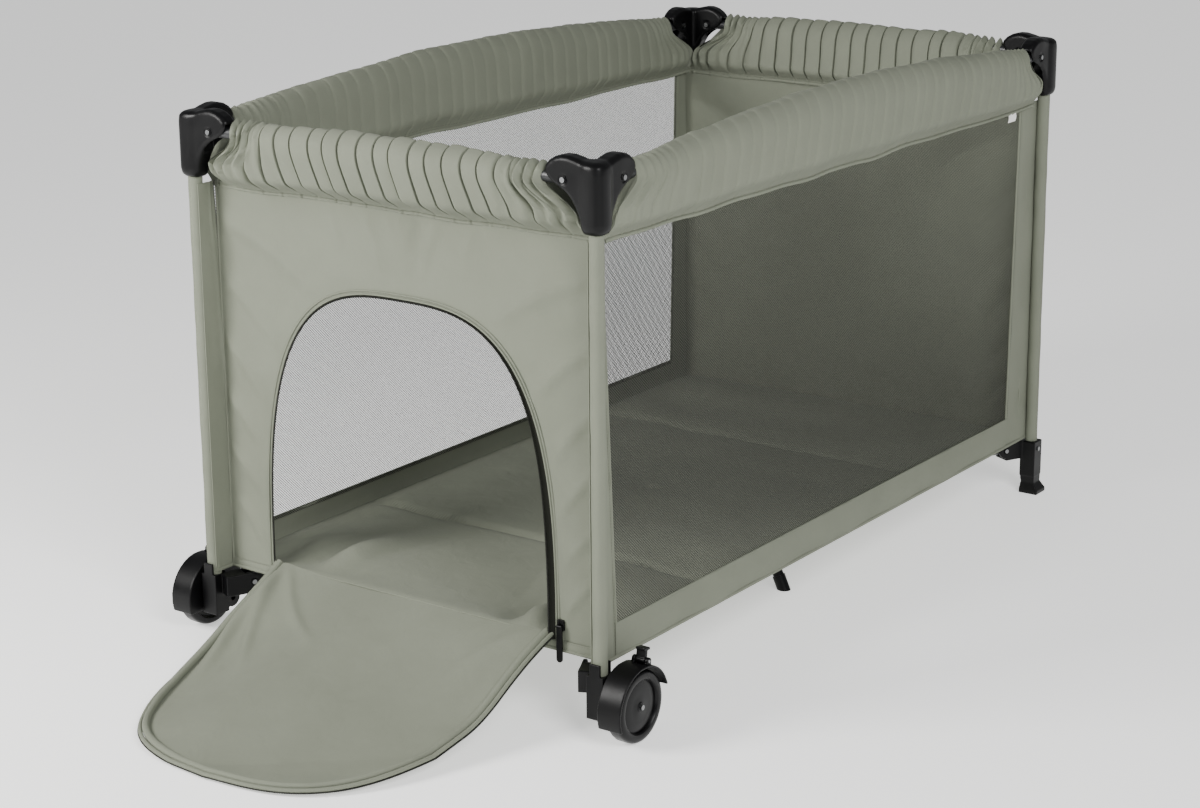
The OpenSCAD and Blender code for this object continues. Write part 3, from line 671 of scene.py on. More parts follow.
def cover_grid(corner, end):
    """A rail cover as a closed loop carried along the rail.

    Columns follow the pleats: each leans as it goes down, and near the cap they fan out from its lower
    edge. The loop goes up the outer side, round the crest as a quarter ellipse each way, down the inner
    side and across the hem."""
    sizes = look().sizes
    reach = HALF_Y if end else HALF_X
    pleats = round((reach - FAN_START) / sizes.pleat_pitch)
    depth = sizes.end_pleat if end else sizes.side_pleat
    steps = np.array([0.0, 0.025, 0.06, 0.12, 0.22, 0.35, 0.5, 0.65, 0.8, 0.92, 0.985])
    # Every pleat on a rail is laid the same way, so one half of the rail takes them the other way round.
    turned = corner.startswith("front") if end else corner.endswith("right")
    if turned:
        steps = np.append(0.0, 1 - steps[:0:-1])
    pleat = (np.arange(pleats)[:, None] + steps[None]).ravel()
    pleat = np.append(pleat, float(pleats))
    rng = np.random.default_rng(RNG_SEED + sum(map(ord, corner)) + 7 * end)
    swell = rng.uniform(0.75, 1.2, pleats + 1)
    wander = np.append(rng.normal(0, 1.9 * MM, pleats), 0.0)
    slant = rng.normal(1.0, 0.16, pleats + 1)
    slant[-1] = 1.0
    which = np.minimum(pleat.astype(int), pleats)
    share = pleat - which
    if turned:
        share = np.where(share > 0, 1 - share, 0)
    # The loop: side is -1 outside to 1 inside, and up is 0 at the hem to 1 at the crest.
    shoulder = 0.62
    crest_steps = np.sin(np.linspace(0, math.pi / 2, 12))
    climb = np.concatenate([np.linspace(0, shoulder, 17)[:-1], shoulder + (1 - shoulder) * crest_steps])
    up = np.concatenate([climb, climb[-2::-1]])
    side = np.concatenate([-np.ones(len(climb) - 1), [0], np.ones(len(climb) - 1)])
    arc = np.clip((up - shoulder) / (1 - shoulder), 0, 1)
    body = np.where(up < shoulder, 1.0, np.sqrt(np.maximum(1 - arc**2, 0)))
    # The start of the cover follows the cap's lower edge, further along the rail the higher it is.
    first = COVER_START + (CAP_REACH + 3 * MM - COVER_START) * smooth(up, 0.36, 0.78)
    straight = FAN_START + (reach - FAN_START) * pleat / pleats
    fan = np.exp(-((pleat / 2.4) ** 2))
    facing = -1.0 if (corner.startswith("front") if end else corner.endswith("left")) else 1.0
    lean = (4 * MM if end else 3 * MM) * facing
    tilt = np.interp(pleat, np.arange(pleats + 1), slant)
    run = (
        straight[:, None]
        + np.interp(pleat, np.arange(pleats + 1), wander)[:, None] * (1 - fan[:, None])
        + (first[None] - FAN_START) * fan[:, None]
        + lean * tilt[:, None] * np.cos(math.pi * up[None]) * (1 - fan[:, None])
    )
    crest = CROWN + cover_bow(run, reach, end)
    height = -DROP + (crest + DROP) * up[None]
    tuck = smooth(run - first[None], -2 * MM, 42 * MM)
    half = (TUCKED_HALF + (sizes.cover_half - TUCKED_HALF) * tuck) * body[None]
    wall = END_WALL + 1.5 * MM if end else SIDE_WALL + 1.5 * MM
    hem = 5.5 * MM
    low = smooth(up, 0.0, 0.26)[None]
    across = wall * (1 - up[None]) ** 1.5 + side[None] * (hem + (half - hem) * low)
    pucker = 1.1 * MM * np.sin(TAU * run / (8.5 * MM)) * (1 - smooth(up, 0.02, 0.2))[None]
    ease = (smooth(up, 0.03, 0.2) * (1 - 0.35 * smooth(up, 0.8, 1)))[None]
    bulge = depth * swell[which][:, None] * pleat_lobe(share)[:, None] * ease
    waves = np.sin(TAU * (pleat[:, None] * 1.7 + 0.9 * up[None]))
    gather = 1.6 * depth * fan[:, None] * waves * smooth(up, 0.05, 0.3)
    bulge = bulge * (1 - 0.6 * fan[:, None]) + 0.4 * gather + pucker
    outer = np.where(up < shoulder, 1.0, body)[None]
    across = across + side[None] * (bulge - 0.55 * depth) * np.maximum(outer, 0.15)
    height = height + (bulge - 0.55 * depth) * smooth(up, shoulder, 1.0)[None]
    uneven = ripple(run, side[None] * 0.1 + up[None] * 0.1, RNG_SEED + len(corner), 5, 0.16)
    height = height + 1.2 * MM * uneven * (1 - smooth(pleat / pleats, 0.85, 1))[:, None]
    close = np.linspace(0, 1, 4)[1:-1]
    bottom_a = across[:, -1:] + (across[:, :1] - across[:, -1:]) * close
    bottom_h = height[:, -1:] + (height[:, :1] - height[:, -1:]) * close - 1.5 * MM
    bottom_r = run[:, -1:] + (run[:, :1] - run[:, -1:]) * close
    return (
        np.concatenate([run, bottom_r], 1),
        np.concatenate([across, bottom_a], 1),
        np.concatenate([height, bottom_h], 1) + RAIL_Z,
        len(up),
    )


def rail_cover(node, corner, end, body):
    """One pleated cover with its two hem bindings and the hems' stitching."""
    run, across, height, rows = cover_grid(corner, end)
    points = placed(corner, end, run, across, height)
    uv = np.stack(np.broadcast_arrays(run, travel(points[len(points) // 2])[None]), -1)
    piece = lofted("rail_" + node, points, finish("sage"), uv, 62)
    dress(piece, body, node)
    fold_flat(piece, (0, 0, 1), (0, 0, RAIL_Z), COVER_KEEP)
    trims = []
    for label, at, out in (("outer", 0, -1), ("inner", rows - 1, 1)):
        r, a, h = run[:, at], across[:, at], height[:, at]
        hem = placed(corner, end, r, a + out * 1.2 * MM, h + 0.5 * MM)
        trims.append(tube_piece(f"hem_{label}_{node}", hem, 2.0 * MM, finish("sage"), squeeze=1.3))
        seam = placed(corner, end, r, a + out * (2.1 * MM), h + 7 * MM)
        trims.append(stitches(f"stitch_{label}_{node}", seam, 0.45 * MM))
    for trim in trims:
        dress(trim, body)
        fold_flat(trim, (0, 0, 1), (0, 0, RAIL_Z), COVER_KEEP)


def fold_flat(piece, axis, anchor, keep):
    """Gives the piece a mesh of its own."""
    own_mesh(piece)
    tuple(axis)


# ---- side walls ----

SIDE_KEEP = 0.17
END_KEEP = 0.25
WALL_TOP = HEM_Z + 6 * MM
CLOTH = 1.2 * MM
BAND_FOLDS = [((0.0, 0.14), (0.05, 0.20), 0.006, 1.0), ((0.0, 0.30), (0.05, 0.35), 0.007, 0.7)]


def on_corner(piece, corner, end):
    """A wall piece rides on its post."""
    dress(piece, corner + "_corner")
    axis, keep = ((0, 1, 0), END_KEEP) if end else ((1, 0, 0), SIDE_KEEP)
    fold_flat(piece, axis, (*POST[corner], 0), keep)


def band_edge(height, corner):
    """Where the netting starts: a line that stands off the post more towards the bottom."""
    wide = 24 * MM if corner.endswith("left") else 62 * MM
    spread = 28 * MM if corner.endswith("left") else 16 * MM
    return wide + spread * (WALL_TOP - height) / (WALL_TOP - WALL_LOW)


def net_sag(run, height):
    """The wall's slight slackness: bowed inwards, most at mid height and at the pen's middle."""
    rise = np.clip((height - WALL_LOW) / (WALL_TOP - WALL_LOW), 0, 1)
    along = np.clip(run / HALF_X, 0, 1)
    return 5 * MM * np.sin(math.pi * rise) * np.sin(math.pi / 2 * along)


def corner_band(corner):
    """The fabric beside the post, with a groove by its seam and two soft creases."""
    height = np.linspace(WALL_LOW, WALL_TOP, 70)[:, None]
    share = np.linspace(0, 1, 15)[None]
    edge = band_edge(height, corner)
    run = -6 * MM + (edge + 6 * MM) * share
    groove = np.exp(-(((edge - run - 9 * MM) / (1.6 * MM)) ** 2)) * 1.6 * MM
    slack = 0.9 * MM * ripple(run, height, RNG_SEED + 3, 6, 0.09) * share * (1 - share) * 4
    across = SIDE_WALL + groove + slack + 1.2 * MM * creases(run, height, BAND_FOLDS)
    points = placed(corner, False, run, across, height)
    return sheet_piece("corner_band_" + corner, points, finish("sage"), CLOTH)


def lower_band(corner, start):
    """The fabric under the netting, which bellies out a little."""
    band = look().sizes.band
    run = start + (HALF_X - start) * np.linspace(0, 1, 90)[None]
    height = np.linspace(WALL_LOW, WALL_LOW + band, 16)[:, None] + 0 * run
    rise = (height - WALL_LOW) / band
    slack = 0.8 * MM * ripple(run, height, RNG_SEED + 5, 6, 0.12)
    belly = 2.5 * MM * np.sin(math.pi * rise) * smooth(run, start, start + 0.1)
    across = SIDE_WALL - 0.5 * MM + net_sag(run, height) + slack - belly
    points = placed(corner, False, run, across, height)
    return sheet_piece("lower_band_" + corner, points, finish("sage"), CLOTH)


def side_wall(corner):
    """Half a long side: netting, the corner band, the lower band, their binding and seams."""
    band = look().sizes.band
    height = np.linspace(WALL_LOW + band - 4 * MM, WALL_TOP, 60)[:, None]
    start = band_edge(height, corner) - 3 * MM
    run = start + (HALF_X - start) * np.linspace(0, 1, 72)[None]
    across = SIDE_WALL + 1.5 * MM + net_sag(run, height)
    net = sheet_piece("net_" + corner, placed(corner, False, run, across, height), finish("net"))
    on_corner(net, corner, False)
    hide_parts(corner + "_walls")

    start = band_edge(WALL_LOW + 20 * MM, corner) - 5 * MM
    pieces = [corner_band(corner), lower_band(corner, start)]
    up = np.linspace(WALL_LOW + 3 * MM, WALL_TOP, 50)
    edge = placed(corner, False, band_edge(up, corner) - 1.5 * MM, SIDE_WALL - 0.2 * MM, up)
    pieces.append(tube_piece("net_binding_" + corner, edge, 1.5 * MM, finish("sage"), flat_axis=(0, 1, 0)))
    seam = placed(corner, False, band_edge(up, corner) - 5.5 * MM, SIDE_WALL - 0.9 * MM, up)
    pieces.append(stitches("net_stitch_" + corner, seam))
    for label, first, at, radius in (
        ("top", start, WALL_LOW + band, 1.3 * MM),
        ("hem", -4 * MM, WALL_LOW + 2.2 * MM, 2.2 * MM),
    ):
        line = np.linspace(first, HALF_X, 120)
        path = placed(corner, False, line, SIDE_WALL - 0.8 * MM + net_sag(line, at), at)
        pieces.append(tube_piece(f"band_{label}_{corner}", path, radius, finish("sage"), squeeze=1.2))
    for piece in pieces:
        on_corner(piece, corner, False)
    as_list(pieces[:2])


# ---- end walls and the door ----


def arch_point(turn, half, tall, power=3.0):
    """A squared ellipse: cosine and sine of the turn, each raised to two over the power."""
    c, s = np.cos(turn), np.sin(turn)
    y = half * np.sign(c) * np.abs(c) ** (2 / power)
    return y, tall * np.abs(s) ** (2 / power)


def even_turns(count, half, tall, low=0.0, high=math.pi, power=3.0):
    """Turns that space the arch's points evenly along it."""
    fine = np.linspace(low, high, 4000)
    y, z = arch_point(fine, half, tall, power)
    z = z * np.sign(np.sin(fine) + 1e-12)
    run = np.concatenate([[0], np.hypot(np.diff(y), np.diff(z)).cumsum()])
    return np.interp(np.linspace(0, run[-1], count), run, fine)


PANEL_FOLDS = [
    ((0.33, 0.60), (0.13, 0.50), 0.016, 3.0 * MM),
    ((0.33, 0.52), (0.19, 0.40), 0.013, 2.4 * MM),
    ((0.33, 0.44), (0.23, 0.33), 0.012, 2.2 * MM),
    ((0.33, 0.36), (0.24, 0.26), 0.010, 2.0 * MM),
    ((0.33, 0.28), (0.25, 0.20), 0.009, 1.8 * MM),
    ((0.31, 0.20), (0.25, 0.13), 0.008, 1.6 * MM),
    ((0.06, 0.63), (0.03, 0.54), 0.008, 1.4 * MM),
    ((0.02, 0.63), (0.00, 0.56), 0.006, 1.2 * MM),
    ((0.12, 0.63), (0.10, 0.57), 0.007, 1.1 * MM),
]


def panel_relief(across, height, seed):
    """The end wall's relief: broad slackness and soft folds that fan out from the post."""
    folds = 1.7 * creases(across, height, PANEL_FOLDS)
    return folds + 2.2 * MM * ripple(across, height, seed, 7, 0.22)


END_EDGE = 10.5 * MM
# A squared ellipse fills this share of its box.
ARCH_FILL = 0.87


def end_grid(door):
    """The end wall's grid, along it and up; at the door end it runs from the arch to the post and the top."""
    if not door:
        along = np.linspace(END_EDGE, HALF_Y, 70)
        return np.stack(np.meshgrid(along, np.linspace(WALL_LOW, WALL_TOP, 100)), -1)
    turn = even_turns(150, DOOR_HALF, DOOR_HEIGHT, 0, math.pi / 2)
    y, z = arch_point(turn, DOOR_HALF + 1 * MM, DOOR_HEIGHT + 1 * MM)
    inner = np.stack([HALF_Y - y, z + DOOR_SILL], -1)
    share = np.linspace(0, 1, 150)
    bend = 0.62
    along = np.where(share < bend, END_EDGE, END_EDGE + (HALF_Y - END_EDGE) * (share - bend) / (1 - bend))
    up = np.where(share < bend, DOOR_SILL + (WALL_TOP - DOOR_SILL) * share / bend, WALL_TOP)
    outer = np.stack([along, up], -1)
    mix = np.linspace(0, 1, 60)[:, None, None] ** 1.15
    return inner[None] * (1 - mix) + outer[None] * mix


def end_wall(corner, door):
    """Half an end wall as a fabric panel; at the door end its inner edge is the arch."""
    flat = end_grid(door)
    run, height = flat[..., 0], flat[..., 1]
    seed = RNG_SEED + (21 if corner.startswith("front") else 33) + 4 * door
    from_middle = HALF_Y - run
    hold = smooth(run, END_EDGE, END_EDGE + 0.02) * (1 - 0.65 * smooth(height, WALL_TOP - 0.02, WALL_TOP))
    hold = hold * (smooth(from_middle, -0.001, 0.03) if door else smooth(from_middle, 0.0, 0.012))
    if door:
        y, z = np.abs(from_middle) / DOOR_HALF, np.clip(height - DOOR_SILL, 0, None) / DOOR_HEIGHT
        hold = hold * smooth((y**3 + z**3) ** (1 / 3), 0.99, 1.08)
    across = END_WALL + 0.6 * MM - panel_relief(from_middle, height, seed) * hold
    name = ("door_panel_" if door else "end_panel_") + corner
    panel = sheet_piece(name, placed(corner, True, run, across, height), finish("sage"), CLOTH)
    pieces = []
    sill = np.linspace(END_EDGE, HALF_Y, 60)
    if door:
        height = np.linspace(WALL_LOW, DOOR_SILL, 7)[:, None] + 0 * sill[None]
        rise = (height - WALL_LOW) / (DOOR_SILL - WALL_LOW)
        across = END_WALL + 0.4 * MM - 1.2 * MM * np.sin(math.pi * rise)
        points = placed(corner, True, sill[None], across, height)
        pieces.append(sheet_piece("sill_" + corner, points, finish("sage"), CLOTH))
    hem = placed(corner, True, sill, END_WALL - 0.4 * MM, WALL_LOW + 2.4 * MM)
    pieces.append(tube_piece("end_hem_" + corner, hem, 2.3 * MM, finish("sage"), squeeze=1.2))
    line = placed(corner, True, sill, END_WALL - 0.6 * MM, WALL_LOW + 13 * MM)
    pieces.append(stitches("end_stitch_" + corner, line))
    up = np.linspace(WALL_LOW + 3 * MM, WALL_TOP, 60)
    seam = placed(corner, True, END_EDGE + 0.5 * MM, END_WALL - 0.2 * MM, up)
    pieces.append(tube_piece("end_seam_" + corner, seam, 1.6 * MM, finish("sage"), flat_axis=(1, 0, 0)))
    for piece in [panel] + pieces:
        on_corner(piece, corner, True)
    area = HALF_Y * (WALL_TOP - WALL_LOW)
    if door:
        door_edge(corner)
        area -= ARCH_FILL * DOOR_HALF * DOOR_HEIGHT


def door_edge(corner):
    """Half the arch's edge: two rows of corded piping, the zip tape turned inwards and its nylon coil."""
    made = []

    def along_arch(count, grow, across):
        """A line beside the arch's edge, grown outwards, at a place across the wall."""
        turn = even_turns(count, DOOR_HALF, DOOR_HEIGHT, 0.0, math.pi / 2)
        y, z = arch_point(turn, DOOR_HALF + grow, DOOR_HEIGHT + grow)
        return placed(corner, True, HALF_Y - y, END_WALL + across, z + DOOR_SILL)

    for label, grow, across, radius in (("inner", 0.5, -0.5, 1.5), ("outer", 5.2, -0.8, 1.1)):
        path = along_arch(170, grow * MM, across * MM)
        name = f"arch_piping_{label}_{corner}"
        made.append(tube_piece(name, path, radius * MM, finish("sage"), flat_axis=(1, 0, 0)))
    # The tape flares towards the opening low down on the zip side, and lies nearly edge-on elsewhere.
    fine = np.linspace(0, 1, 1700)
    flare = 0.3 + 0.7 * (1 - smooth(fine, 0.2, 0.85)) * corner.startswith("front")
    wide = np.interp(np.linspace(0, 1, 150), fine, flare)
    edges = ((0.5, -1.0), (-2.0, -1.8), (-5.0, -3.6), (-7.5, -6.0))
    rows = [along_arch(150, grow * MM * wide, depth * MM * wide) for grow, depth in edges]
    made.append(sheet_piece("zip_tape_" + corner, np.stack(rows), finish("zip"), 0.9 * MM))
    path = along_arch(1700, -7.6 * MM * flare, -6.6 * MM * flare)
    teeth = 1.3 * MM + 0.4 * MM * np.sin(np.arange(len(fine)) * TAU / 5)
    made.append(tube_piece("zip_coil_" + corner, path, teeth, finish("coil"), 6, flat_axis=(1, 0, 0)))
    for piece in made:
        on_corner(piece, corner, True)


# ---- door flap ----

FLAP_TILT = math.radians(15.05)
FLAP_KEEP = 0.3


def flap_point(y, v, w):
    """A point on the flap at rest: y across, v out from the hinge, and w above its plane."""
    y, v, w = np.broadcast_arrays(y, v, w)
    c, s = math.cos(FLAP_TILT), math.sin(FLAP_TILT)
    return np.stack([HINGE[0] - v * c - w * s, y, HINGE[2] - v * s + w * c], -1)


FLAP_FOLDS = [
    ((0.225, 0.01), (0.14, 0.20), 0.010, 5.0 * MM),
    ((0.222, 0.01), (0.19, 0.24), 0.012, 7.0 * MM),
    ((0.228, 0.02), (0.215, 0.16), 0.007, 4.0 * MM),
    ((0.215, 0.0), (0.07, 0.13), 0.008, 3.0 * MM),
    ((-0.20, 0.0), (-0.12, 0.16), 0.014, 2.5 * MM),
]


def flap_height(y, v):
    """The flap's sag between its hinge and its rim, and its fan of folds from one hinge corner."""
    reach = np.clip(v / FLAP_LENGTH, 0, 1)
    wide = np.clip(np.abs(y) / FLAP_HALF, 0, 1)
    inner = smooth(1 - (wide**3 + reach**3) ** (1 / 3), 0.0, 0.12)
    sag = -6 * MM * np.sin(math.pi * reach**0.8) * (1 - wide**2)
    return (sag + 1.4 * creases(y, v, FLAP_FOLDS) + 1.5 * MM * ripple(y, v, RNG_SEED + 9, 6, 0.2)) * inner


def flap_droop(y, v):
    """The zip side hangs slack: it drops towards the floor soon after the hinge, and then lies along it."""
    room = (FLAP_LENGTH - v) * math.tan(FLAP_TILT)
    slack = 40 * MM * smooth(v, 0.0, 0.19) * smooth(-y, -0.1, FLAP_HALF)
    taut = 42 * MM * np.sin(math.pi * np.clip(v / FLAP_LENGTH, 0, 1)) * smooth(y, 0.05, FLAP_HALF)
    return -np.minimum(slack + taut, room * 0.86)


def rim_lift(v):
    """How high the rim stands above the flap's plane: its outer end lies on the floor and lifts a little."""
    return 3.2 * MM + 0.010 * smooth(v, 0.0, 0.12) * (1 - smooth(v, 0.2, 0.38))


def flap_rim(count, grow):
    """Points along the flap's curved edge between its hinge corners, with a faint point at the middle."""
    turn = even_turns(count, FLAP_HALF, FLAP_LENGTH)
    y, v = arch_point(turn, FLAP_HALF - 7 * MM + grow, FLAP_LENGTH - 7 * MM + grow)
    return y, v + 3.5 * MM * np.exp(-np.abs(y) / 0.03) * smooth(v, 0.3, 0.4)


def flap_pieces():
    """The flap with its piped rim, zip tape, coil and hinge seam."""
    y, v = flap_rim(240, -1 * MM)
    mix = np.linspace(0.0, 1.0, 80)[:, None]
    py, pv = y[None] * mix, v[None] * mix
    w = rim_lift(v)[None] * mix**3 + flap_height(py, pv) + flap_droop(py, pv) + 0.6 * MM
    panel = sheet_piece("flap_panel", flap_point(py, pv, w), finish("sage"), 1.4 * MM)
    merged(panel.data)
    outward(panel)
    parts = []
    for label, grow, up, radius in (("inner", -3.5, 3.0, 5.0), ("outer", 3.6, 0.9, 2.9)):
        y, v = flap_rim(260, grow * MM)
        path = flap_point(y, v, rim_lift(v) + up * MM + flap_droop(y, v))
        parts.append(tube_piece(f"flap_piping_{label}", path, radius * MM, finish("sage"), 10))
    rows = []
    for grow, drop in ((4.0 * MM, -1.2 * MM), (6.6 * MM, -2.2 * MM)):
        y, v = flap_rim(240, grow)
        rows.append(flap_point(y, v, np.maximum(rim_lift(v) + drop, 1 * MM) + flap_droop(y, v)))
    parts.append(sheet_piece("flap_zip_tape", np.stack(rows), finish("zip"), 0.9 * MM))
    y, v = flap_rim(2600, 6.2 * MM)
    path = flap_point(y, v, np.maximum(rim_lift(v) - 2.2 * MM, 1.6 * MM) + flap_droop(y, v))
    teeth = 1.1 * MM + 0.3 * MM * np.sin(np.arange(len(y)) * TAU / 5)
    parts.append(tube_piece("flap_zip_coil", path, teeth, finish("coil"), 6))
    line = np.linspace(-FLAP_HALF + 8 * MM, FLAP_HALF - 8 * MM, 120)
    parts.append(tube_piece("flap_hinge_seam", flap_point(line, 2 * MM, 1.4 * MM), 1.6 * MM, finish("sage")))
    for piece in [panel] + parts:
        dress(piece, "flap")
        fold_flat(piece, (0, 1, 0), (0, POST["front_left"][1] + 92 * MM, 0), FLAP_KEEP)
    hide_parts("door_flap")


# ---- mattress ----


# The mattress's outline is nearly a rectangle, with tight corners.
SQUARE = 22.0


def mattress_top(x, y, half_x):
    """The mattress's relief: quarter fold lines, a soft crown to each panel, and wrinkles by the door."""
    quarter = half_x / 2
    lines = sum(np.exp(-(((x - PEN_X - k * quarter) / (6 * MM)) ** 2)) for k in (-1, 0, 1))
    crown = 3.0 * MM * np.abs(np.sin(math.pi * (x - PEN_X + half_x) / quarter)) ** 0.6
    door = 1 - smooth(x - (PEN_X - half_x), 0.0, 0.2)
    pull = 14 * MM * door * ripple(y * 1.0, x * 0.25, RNG_SEED + 2, 9, 0.075)
    return crown - 8 * MM * lines + pull + 2.4 * MM * ripple(x, y, RNG_SEED + 6, 8, 0.16)


def mattress_piece():
    """A fabric-covered pad, in rings over its top, round its rolled side and back underneath."""
    low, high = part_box("mattress")
    # The cover is fuller than the plain CAD pad: it meets the side walls, and nearly the end walls.
    half_x, half_y = (high[0] - low[0]) / 2 + 4 * MM, (high[1] - low[1]) / 2 + 14 * MM
    thick = high[2] - low[2]
    inset = np.concatenate([[0.0, 0.0, 1.2, 3.5, 7.0, 12.0, 20.0], np.linspace(34, 1000 * half_y, 60)]) * MM
    drop = np.concatenate([[0.5, 0.32, 0.16, 0.07, 0.03, 0.01], np.zeros(61)])
    turn = even_turns(361, half_x, half_y, 0, TAU, SQUARE)[:-1]
    round_x, round_y = arch_point(turn, 1.0, 1.0, SQUARE)
    round_y = round_y * np.sign(np.sin(turn))
    rings = []
    for side in (1, -1):
        for k in range(len(inset))[::side]:
            share = 1 - inset[k] / half_y
            x = PEN_X + round_x * (half_x * share)
            y = round_y * (half_y * share)
            if side == 1:
                level = high[2] - thick * drop[k] + mattress_top(x, y, half_x) * smooth(inset[k], 0, 30 * MM)
            else:
                level = low[2] + thick * drop[k] + 0 * x
            rings.append(np.stack([x, y, level], -1))
    points = np.stack(rings[::-1])
    faces = grid_faces(*points.shape[:2], wrap=True)
    uv = points[..., :2].reshape(-1, 2)
    pad = add_piece("mattress_cover", points.reshape(-1, 3), faces, finish("pad"), uv, 60)
    merged(pad.data, 1e-5)
    outward(pad)
    edge = np.stack([PEN_X + round_x * half_x, round_y * half_y, 0 * turn + (low[2] + high[2]) / 2], -1)
    bead = tube_piece("mattress_piping", edge, 2.2 * MM, finish("pad"), closed=True)
    for made in (pad, bead):
        dress(made, "mattress_pad")
        fold_flat(made, (1, 0, 0), (PEN_X, 0, 0), SIDE_KEEP)
    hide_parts("mattress")


# ---- mouldings ----

# A wing's outline in millimetres, along the rail and up, from the skirt's inner foot round the hump.
WING = [
    (-13, -52), (-10, -59), (-4, -62.5), (11, -62.5), (15, -56), (17, -48), (25, -32), (31, -23),
    (39, -16), (48, -11), (56, -8), (64, -2), (69, 4), (71, 9), (69, 16), (63, 22),
    (54, 27), (44, 29.5), (34, 29.5), (22, 27), (10, 23.5), (-4, 21.5), (-11, 18), (-13, 10),
]


def cap_field(x, y, z):
    """The cap: two humped wings over the rails' ends, a round core, fork slots and rivet dishes."""
    outline = [(a * MM, b * MM) for a, b in WING]
    core = np.hypot(x, y) - 15 * MM
    solid = round_both(core, np.abs(z + 20 * MM) - 42.5 * MM, 7 * MM)
    for along, across in ((x, y), (y, x)):
        taper = 13 * MM - 1.5 * MM * smooth(along, 30 * MM, 72 * MM)
        wing = round_both(outline_distance(along, z, outline), np.abs(across) - taper, 7 * MM)
        solid = blend_either(solid, wing, 7 * MM)
    for along, across in ((x, y), (y, x)):
        slot = np.maximum(np.maximum(np.abs(across) - 9 * MM, 28 * MM - along), z - 11.5 * MM)
        dish = np.maximum(np.hypot(along - 40 * MM, z) - 6.3 * MM, 11.6 * MM - np.abs(across))
        solid = np.maximum(solid, -np.minimum(slot, dish))
    return solid


def corner_caps():
    """One cap surface, placed at each corner."""
    low, high = (-22 * MM, -22 * MM, -72 * MM), (80 * MM, 80 * MM, 38 * MM)
    points, faces = skin_of(cap_field, low, high, 1.25 * MM)
    points = points + [0, 0, RAIL_Z]
    for corner in CORNERS:
        piece = outward(add_piece("cap_" + corner, to_row(points, corner), faces, finish("black"), None, 42))
        dress(piece, corner + "_corner", corner + "_corner_cap")


SLEEVE = 9.6 * MM


def sleeves():
    """The fabric sleeve round each post, flared a little at its foot."""
    for corner in CORNERS:
        x, y = POST[corner]
        z = np.linspace(WALL_LOW - 6 * MM, CAP_LOW + 1 * MM, 140)[:, None]
        turn = np.linspace(0, TAU, 40, endpoint=False)[None]
        radius = SLEEVE + 0.22 * MM * ripple(turn * 0.02, z, RNG_SEED + len(corner), 6, 0.05)
        radius = radius + 0.5 * MM * np.exp(-((z - z[0]) / (3 * MM)) ** 2)
        points = np.stack([x + radius * np.cos(turn), y + radius * np.sin(turn), z + 0 * turn], -1)
        uv = np.stack([turn * SLEEVE + 0 * z, z + 0 * turn], -1)
        piece = lofted("sleeve_" + corner, points, finish("sage"), uv, 60)
        dress(piece, corner + "_corner")


# The wheel's section in millimetres: out from the axle, and in from its outer face.
WHEEL_SECTION = [
    (0.5, 1.4), (5.6, 1.4), (6.3, 2.1), (7.6, 2.6), (20, 2.2), (30, 3.4), (34.2, 4.6), (34.9, 2.2),
    (36.2, 0.6), (38.5, 0.0), (43.5, 0.3), (46.1, 1.9), (47.3, 4.6), (47.5, 8.0), (47.5, 16.0), (47.3, 19.4),
    (46.1, 22.1), (43.5, 23.7), (38.5, 24.0), (36.5, 21.5), (34.0, 20.5), (13, 20.5), (11, 23), (0.5, 23),
]


def wheel_piece(node):
    """A moulded wheel: a rounded tread, an outer ring, a step down, and a shallow dome with a hub boss."""
    low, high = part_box(node)
    section = np.array(WHEEL_SECTION)
    reach = (section[:, 0] * ((high[0] - low[0]) / 2) / section[:, 0].max())[:, None]
    depth = ((high[1] - low[1]) / 2 - section[:, 1] * MM)[:, None]
    outer = -1 if node.startswith("front") else 1
    turn = np.linspace(0, TAU, 96, endpoint=False)
    cx, cy, cz = middle(node)
    parts = (cx + reach * np.cos(turn), cy + outer * depth, cz + reach * np.sin(turn))
    points = np.stack(np.broadcast_arrays(*parts), -1)
    piece = lofted("moulded_" + node, points, finish("wheel"), None, 35)
    dress(piece, piece_body(node), node)


# Softened mouldings, each with its voxel size in millimetres.
SOFT_EDGED = {
    "front_wheel_bracket": 1.0,
    "back_wheel_bracket": 1.0,
    "front_foot": 0.9,
    "back_foot": 0.9,
    "front_brake_lever": 0.5,
    "back_brake_lever": 0.5,
    "zip_slider": 0.35,
    "zip_pull": 0.4,
}


PIN_RADIUS = 3.4 * MM


def islands(work):
    """The mesh's loose parts, each as a list of its vertices."""
    seen = set()
    for start in list(work.verts):
        if start in seen:
            continue
        island, queue = [], [start]
        seen.add(start)
        while queue:
            vertex = queue.pop()
            island.append(vertex)
            for edge in vertex.link_edges:
                other = edge.other_vert(vertex)
                if other not in seen:
                    seen.add(other)
                    queue.append(other)
        yield island


def small_heads(node):
    """The corner's fasteners with small heads: each is drawn in towards its own axis, to the pin's radius."""
    mesh = merged(frame["nodes"][node].data.copy())
    work = bmesh.new()
    work.from_mesh(mesh)
    for island in islands(work):
        points = np.array([v.co for v in island])
        centre = (points.min(0) + points.max(0)) / 2
        away = points - centre
        # The axis is the direction whose spread stands apart from the other two.
        spread, turned = np.linalg.eigh(away.T @ away)
        axis = turned[:, 2 if spread[1] - spread[0] < spread[2] - spread[1] else 0]
        along = away @ axis
        off = away - along[:, None] * axis
        off *= np.minimum(1.0, PIN_RADIUS / np.maximum(np.linalg.norm(off, axis=1, keepdims=True), 1e-9))
        for vertex, place in zip(island, centre + along[:, None] * axis + off):
            vertex.co = place
    bmesh.ops.recalc_face_normals(work, faces=work.faces)
    work.to_mesh(mesh)
    work.free()
    dress(linked("heads_" + node, mesh, finish("rivet")), piece_body(node), node)


